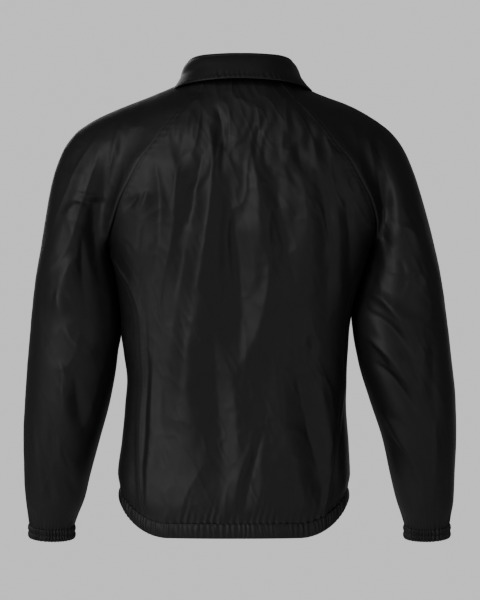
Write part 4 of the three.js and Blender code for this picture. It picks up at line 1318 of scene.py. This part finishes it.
class JACKET_OT_sleeves(bpy.types.Operator):
    """Makes the two raglan sleeves"""

    bl_idname = "jacket.sleeves"
    bl_label = "Sleeves"

    def execute(self, context):
        for side, node in ((1, "sleeve_left"), (-1, "sleeve_right")):
            obj = finish_piece(build_sleeve(context.scene.jacket_cloth, side), node, cloth_material())
        return {"FINISHED"}


class JACKET_OT_cuffs(bpy.types.Operator):
    """Makes the elastic cuffs"""

    bl_idname = "jacket.cuffs"
    bl_label = "Cuffs"

    def execute(self, context):
        for side, node in ((1, "cuff_left"), (-1, "cuff_right")):
            obj = finish_piece(build_cuff(side), node, cloth_material())
        return {"FINISHED"}


class JACKET_OT_hem(bpy.types.Operator):
    """Makes the casing of the drawn-in hem"""

    bl_idname = "jacket.hem"
    bl_label = "Hem casing"

    def execute(self, context):
        left = float(quarter_of(back_seam["left"](HEM_DOWN), False))
        right = float(quarter_of(back_seam["right"](HEM_DOWN), False))
        past = 2 + LAP_PAST / float(body["half"](HEM_DOWN)) / (math.pi / 2)
        casings = (
            ("hem_back", -right + HEM_GAP, left - HEM_GAP, False, False),
            ("hem_front_left", left + HEM_GAP, past, True, False),
            ("hem_front_right", -right - HEM_GAP, -past, False, True),
        )
        for node, start, end, lapped, flip in casings:
            obj = build_casing(node + "_cloth", start, end, lapped, flip)
            finish_piece(obj, node, cloth_material())
        return {"FINISHED"}


class JACKET_OT_collar(bpy.types.Operator):
    """Makes the turned-down collar"""

    bl_idname = "jacket.collar"
    bl_label = "Collar"

    def execute(self, context):
        names = ("back", "front_left", "front_right", "sleeve_left", "sleeve_right")
        panels = [bpy.data.objects[name + "_cloth"] for name in names]
        obj = finish_piece(build_collar(panels), "collar", cloth_material())
        return {"FINISHED"}


class JACKET_OT_snaps(bpy.types.Operator):
    """Gives the snap caps their finish"""

    bl_idname = "jacket.snaps"
    bl_label = "Snaps"

    def execute(self, context):
        material = snap_material()
        nodes = sorted(name for name in frame["nodes"] if name.startswith("snap_"))
        for name in nodes:
            solid = frame["nodes"][name]
            box = [solid.matrix_world @ Vector(corner) for corner in solid.bound_box]
            middle = sum(box, Vector()) / len(box)
            points, ways = GRIDS["front_left"]
            near = np.argmin(np.linalg.norm(points * MM - np.array(middle), axis=-1))
            way = ways.reshape(-1, 3)[near]
            place = Vector((middle.x, max(corner.y for corner in box), middle.z))
            finish_piece(snap_cap(name + "_cap", place, (0, way[1], way[2])), name, material)
        return {"FINISHED"}


class JACKET_OT_stitches(bpy.types.Operator):
    """Sews the topstitching of seams, edges, hem and cuffs"""

    bl_idname = "jacket.stitches"
    bl_label = "Stitches"

    def execute(self, context):
        thread = nylon("Black thread", (0.016, 0.016, 0.017), 0.5)
        back, left, right = GRIDS["back"], GRIDS["front_left"], GRIDS["front_right"]
        runs = {
            "back_stitches": [inset_line(back, TOPSTITCH), inset_line(back, TOPSTITCH, True)],
            "front_left_stitches": [inset_line(left, TOPSTITCH), inset_line(left, LAP_STITCH, True)],
            "front_right_stitches": [inset_line(right, TOPSTITCH), inset_line(right, LAP_STITCH, True)],
            "collar_stitches": [across_line(GRIDS["collar"], STITCH_ROWS["collar"])],
            "cuff_left_stitches": [across_line(GRIDS["cuff_left"], STITCH_ROWS["cuff"])],
            "cuff_right_stitches": [across_line(GRIDS["cuff_right"], STITCH_ROWS["cuff"])],
            "hem_stitches": [across_line(GRIDS[name + "_cloth"], STITCH_ROWS["hem"]) for name in HEM_NODES],
        }
        for name, lines in runs.items():
            obj = add_stitches(name, lines)
            obj.data.materials.append(thread)
            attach(obj, "root")
        return {"FINISHED"}


def area_light(name, place, aim, size, power):
    """A soft light that faces a point."""
    light = bpy.data.lights.new(name, "AREA")
    light.shape = "RECTANGLE"
    light.size, light.size_y = size
    light.energy = power
    obj = linked(name, light)
    obj.location = place
    obj.rotation_euler = (Vector(aim) - Vector(place)).to_track_quat("-Z", "Y").to_euler()


# Name, place, size and power of each light, in metres and watts
LIGHTS = (
    ("Key", (2.4, 3.1, 0.7), (1.0, 2.0), 58),
    ("Side", (3.5, 1.5, 0.2), (1.0, 2.2), 12),
    ("Top", (0.3, 3.2, 2.3), (1.4, 0.8), 15),
    ("Fill", (-2.5, 2.9, -0.3), (0.8, 2.0), 14),
    ("Front key", (1.5, -3.6, 1.0), (1.2, 2.0), 26),
    ("Front fill", (-1.9, -3.2, -0.2), (0.8, 2.0), 4),
)
FLOOR_DOWN, FLOOR_RADIUS = 1.62, 6.5
# The studio's wall is pale within this cosine of the camera's direction and darker round it
WALL_EDGE, WALL_MIDDLE, WALL_PALE = -0.979, -0.9873, 0.8


def build_floor():
    """A plain pale disc, as far below the jacket as a wearer's feet."""
    mesh = bpy.data.meshes.new("studio_floor")
    steps = 96
    turns = [2 * math.pi * k / steps for k in range(steps)]
    corners = [(FLOOR_RADIUS * math.cos(t), FLOOR_RADIUS * math.sin(t), -FLOOR_DOWN) for t in turns]
    mesh.from_pydata(corners, [], [list(range(steps))])
    floor = linked("studio_floor", mesh)
    pale, _, _, shader = new_material("Pale floor")
    shader.inputs["Base Color"].default_value = (0.9, 0.9, 0.9, 1)
    shader.inputs["Roughness"].default_value = 0.9
    mesh.materials.append(pale)


def build_wall(world, surround):
    """Even surroundings that grow pale behind the jacket, as a far studio wall."""
    world.use_nodes = True
    nodes, links = world.node_tree.nodes, world.node_tree.links
    back = nodes["Background"]
    back.inputs["Color"].default_value = (1, 1, 1, 1)
    place = nodes.new("ShaderNodeTexCoord")
    split = nodes.new("ShaderNodeSeparateXYZ")
    ends = {"From Min": WALL_EDGE, "From Max": WALL_MIDDLE, "To Min": surround, "To Max": WALL_PALE}
    pale = new_node(nodes, "ShaderNodeMapRange", ends)
    pale.interpolation_type = "SMOOTHSTEP"
    links.new(place.outputs["Generated"], split.inputs[0])
    links.new(split.outputs["Y"], pale.inputs["Value"])
    links.new(pale.outputs["Result"], back.inputs["Strength"])


class JACKET_OT_stage(bpy.types.Operator):
    """Makes the pale floor, the studio light and the camera"""

    bl_idname = "jacket.stage"
    bl_label = "Stage"

    def execute(self, context):
        settings = context.scene.jacket_stage
        build_floor()
        context.scene.world = context.scene.world or bpy.data.worlds.new("Studio")
        build_wall(context.scene.world, settings.surround)
        centre = Vector(settings.centre)
        for name, place, size, power in LIGHTS:
            area_light(name, place, centre, size, power)
        camera = bpy.data.cameras.new("Camera")
        camera.sensor_width = 36.0
        camera.lens = camera.sensor_width * settings.distance / settings.field
        holder = linked("Camera", camera)
        holder.location = centre + Vector((0, settings.distance, 0))
        holder.rotation_euler = (math.pi / 2, 0, math.pi)
        context.scene.camera = holder
        return {"FINISHED"}


class JACKET_PT_panel(bpy.types.Panel):
    """Lists the jacket's pieces in the sidebar"""

    bl_idname = "JACKET_PT_panel"
    bl_label = "Coach jacket"
    bl_space_type = "VIEW_3D"
    bl_region_type = "UI"
    bl_category = "Jacket"

    def draw(self, context):
        layout = self.layout
        for name in JacketCloth.__annotations__:
            layout.prop(context.scene.jacket_cloth, name)
        for name in JacketStage.__annotations__:
            layout.prop(context.scene.jacket_stage, name)
        for operator in OPERATORS:
            layout.operator(operator.bl_idname)


OPERATORS = (
    JACKET_OT_stage,
    JACKET_OT_back,
    JACKET_OT_fronts,
    JACKET_OT_sleeves,
    JACKET_OT_cuffs,
    JACKET_OT_hem,
    JACKET_OT_collar,
    JACKET_OT_snaps,
    JACKET_OT_stitches,
)
CLASSES = (JacketCloth, JacketStage, *OPERATORS, JACKET_PT_panel)


def register():
    for cls in CLASSES:
        bpy.utils.register_class(cls)
    bpy.types.Scene.jacket_cloth = bpy.props.PointerProperty(type=JacketCloth)
    bpy.types.Scene.jacket_stage = bpy.props.PointerProperty(type=JacketStage)


def unregister():
    del bpy.types.Scene.jacket_stage
    del bpy.types.Scene.jacket_cloth
    for cls in reversed(CLASSES):
        bpy.utils.unregister_class(cls)


def main():
    register()
    for operator in OPERATORS:
        area, name = operator.bl_idname.split(".")
        getattr(getattr(bpy.ops, area), name)()


if __name__ == "__main__":
    main()
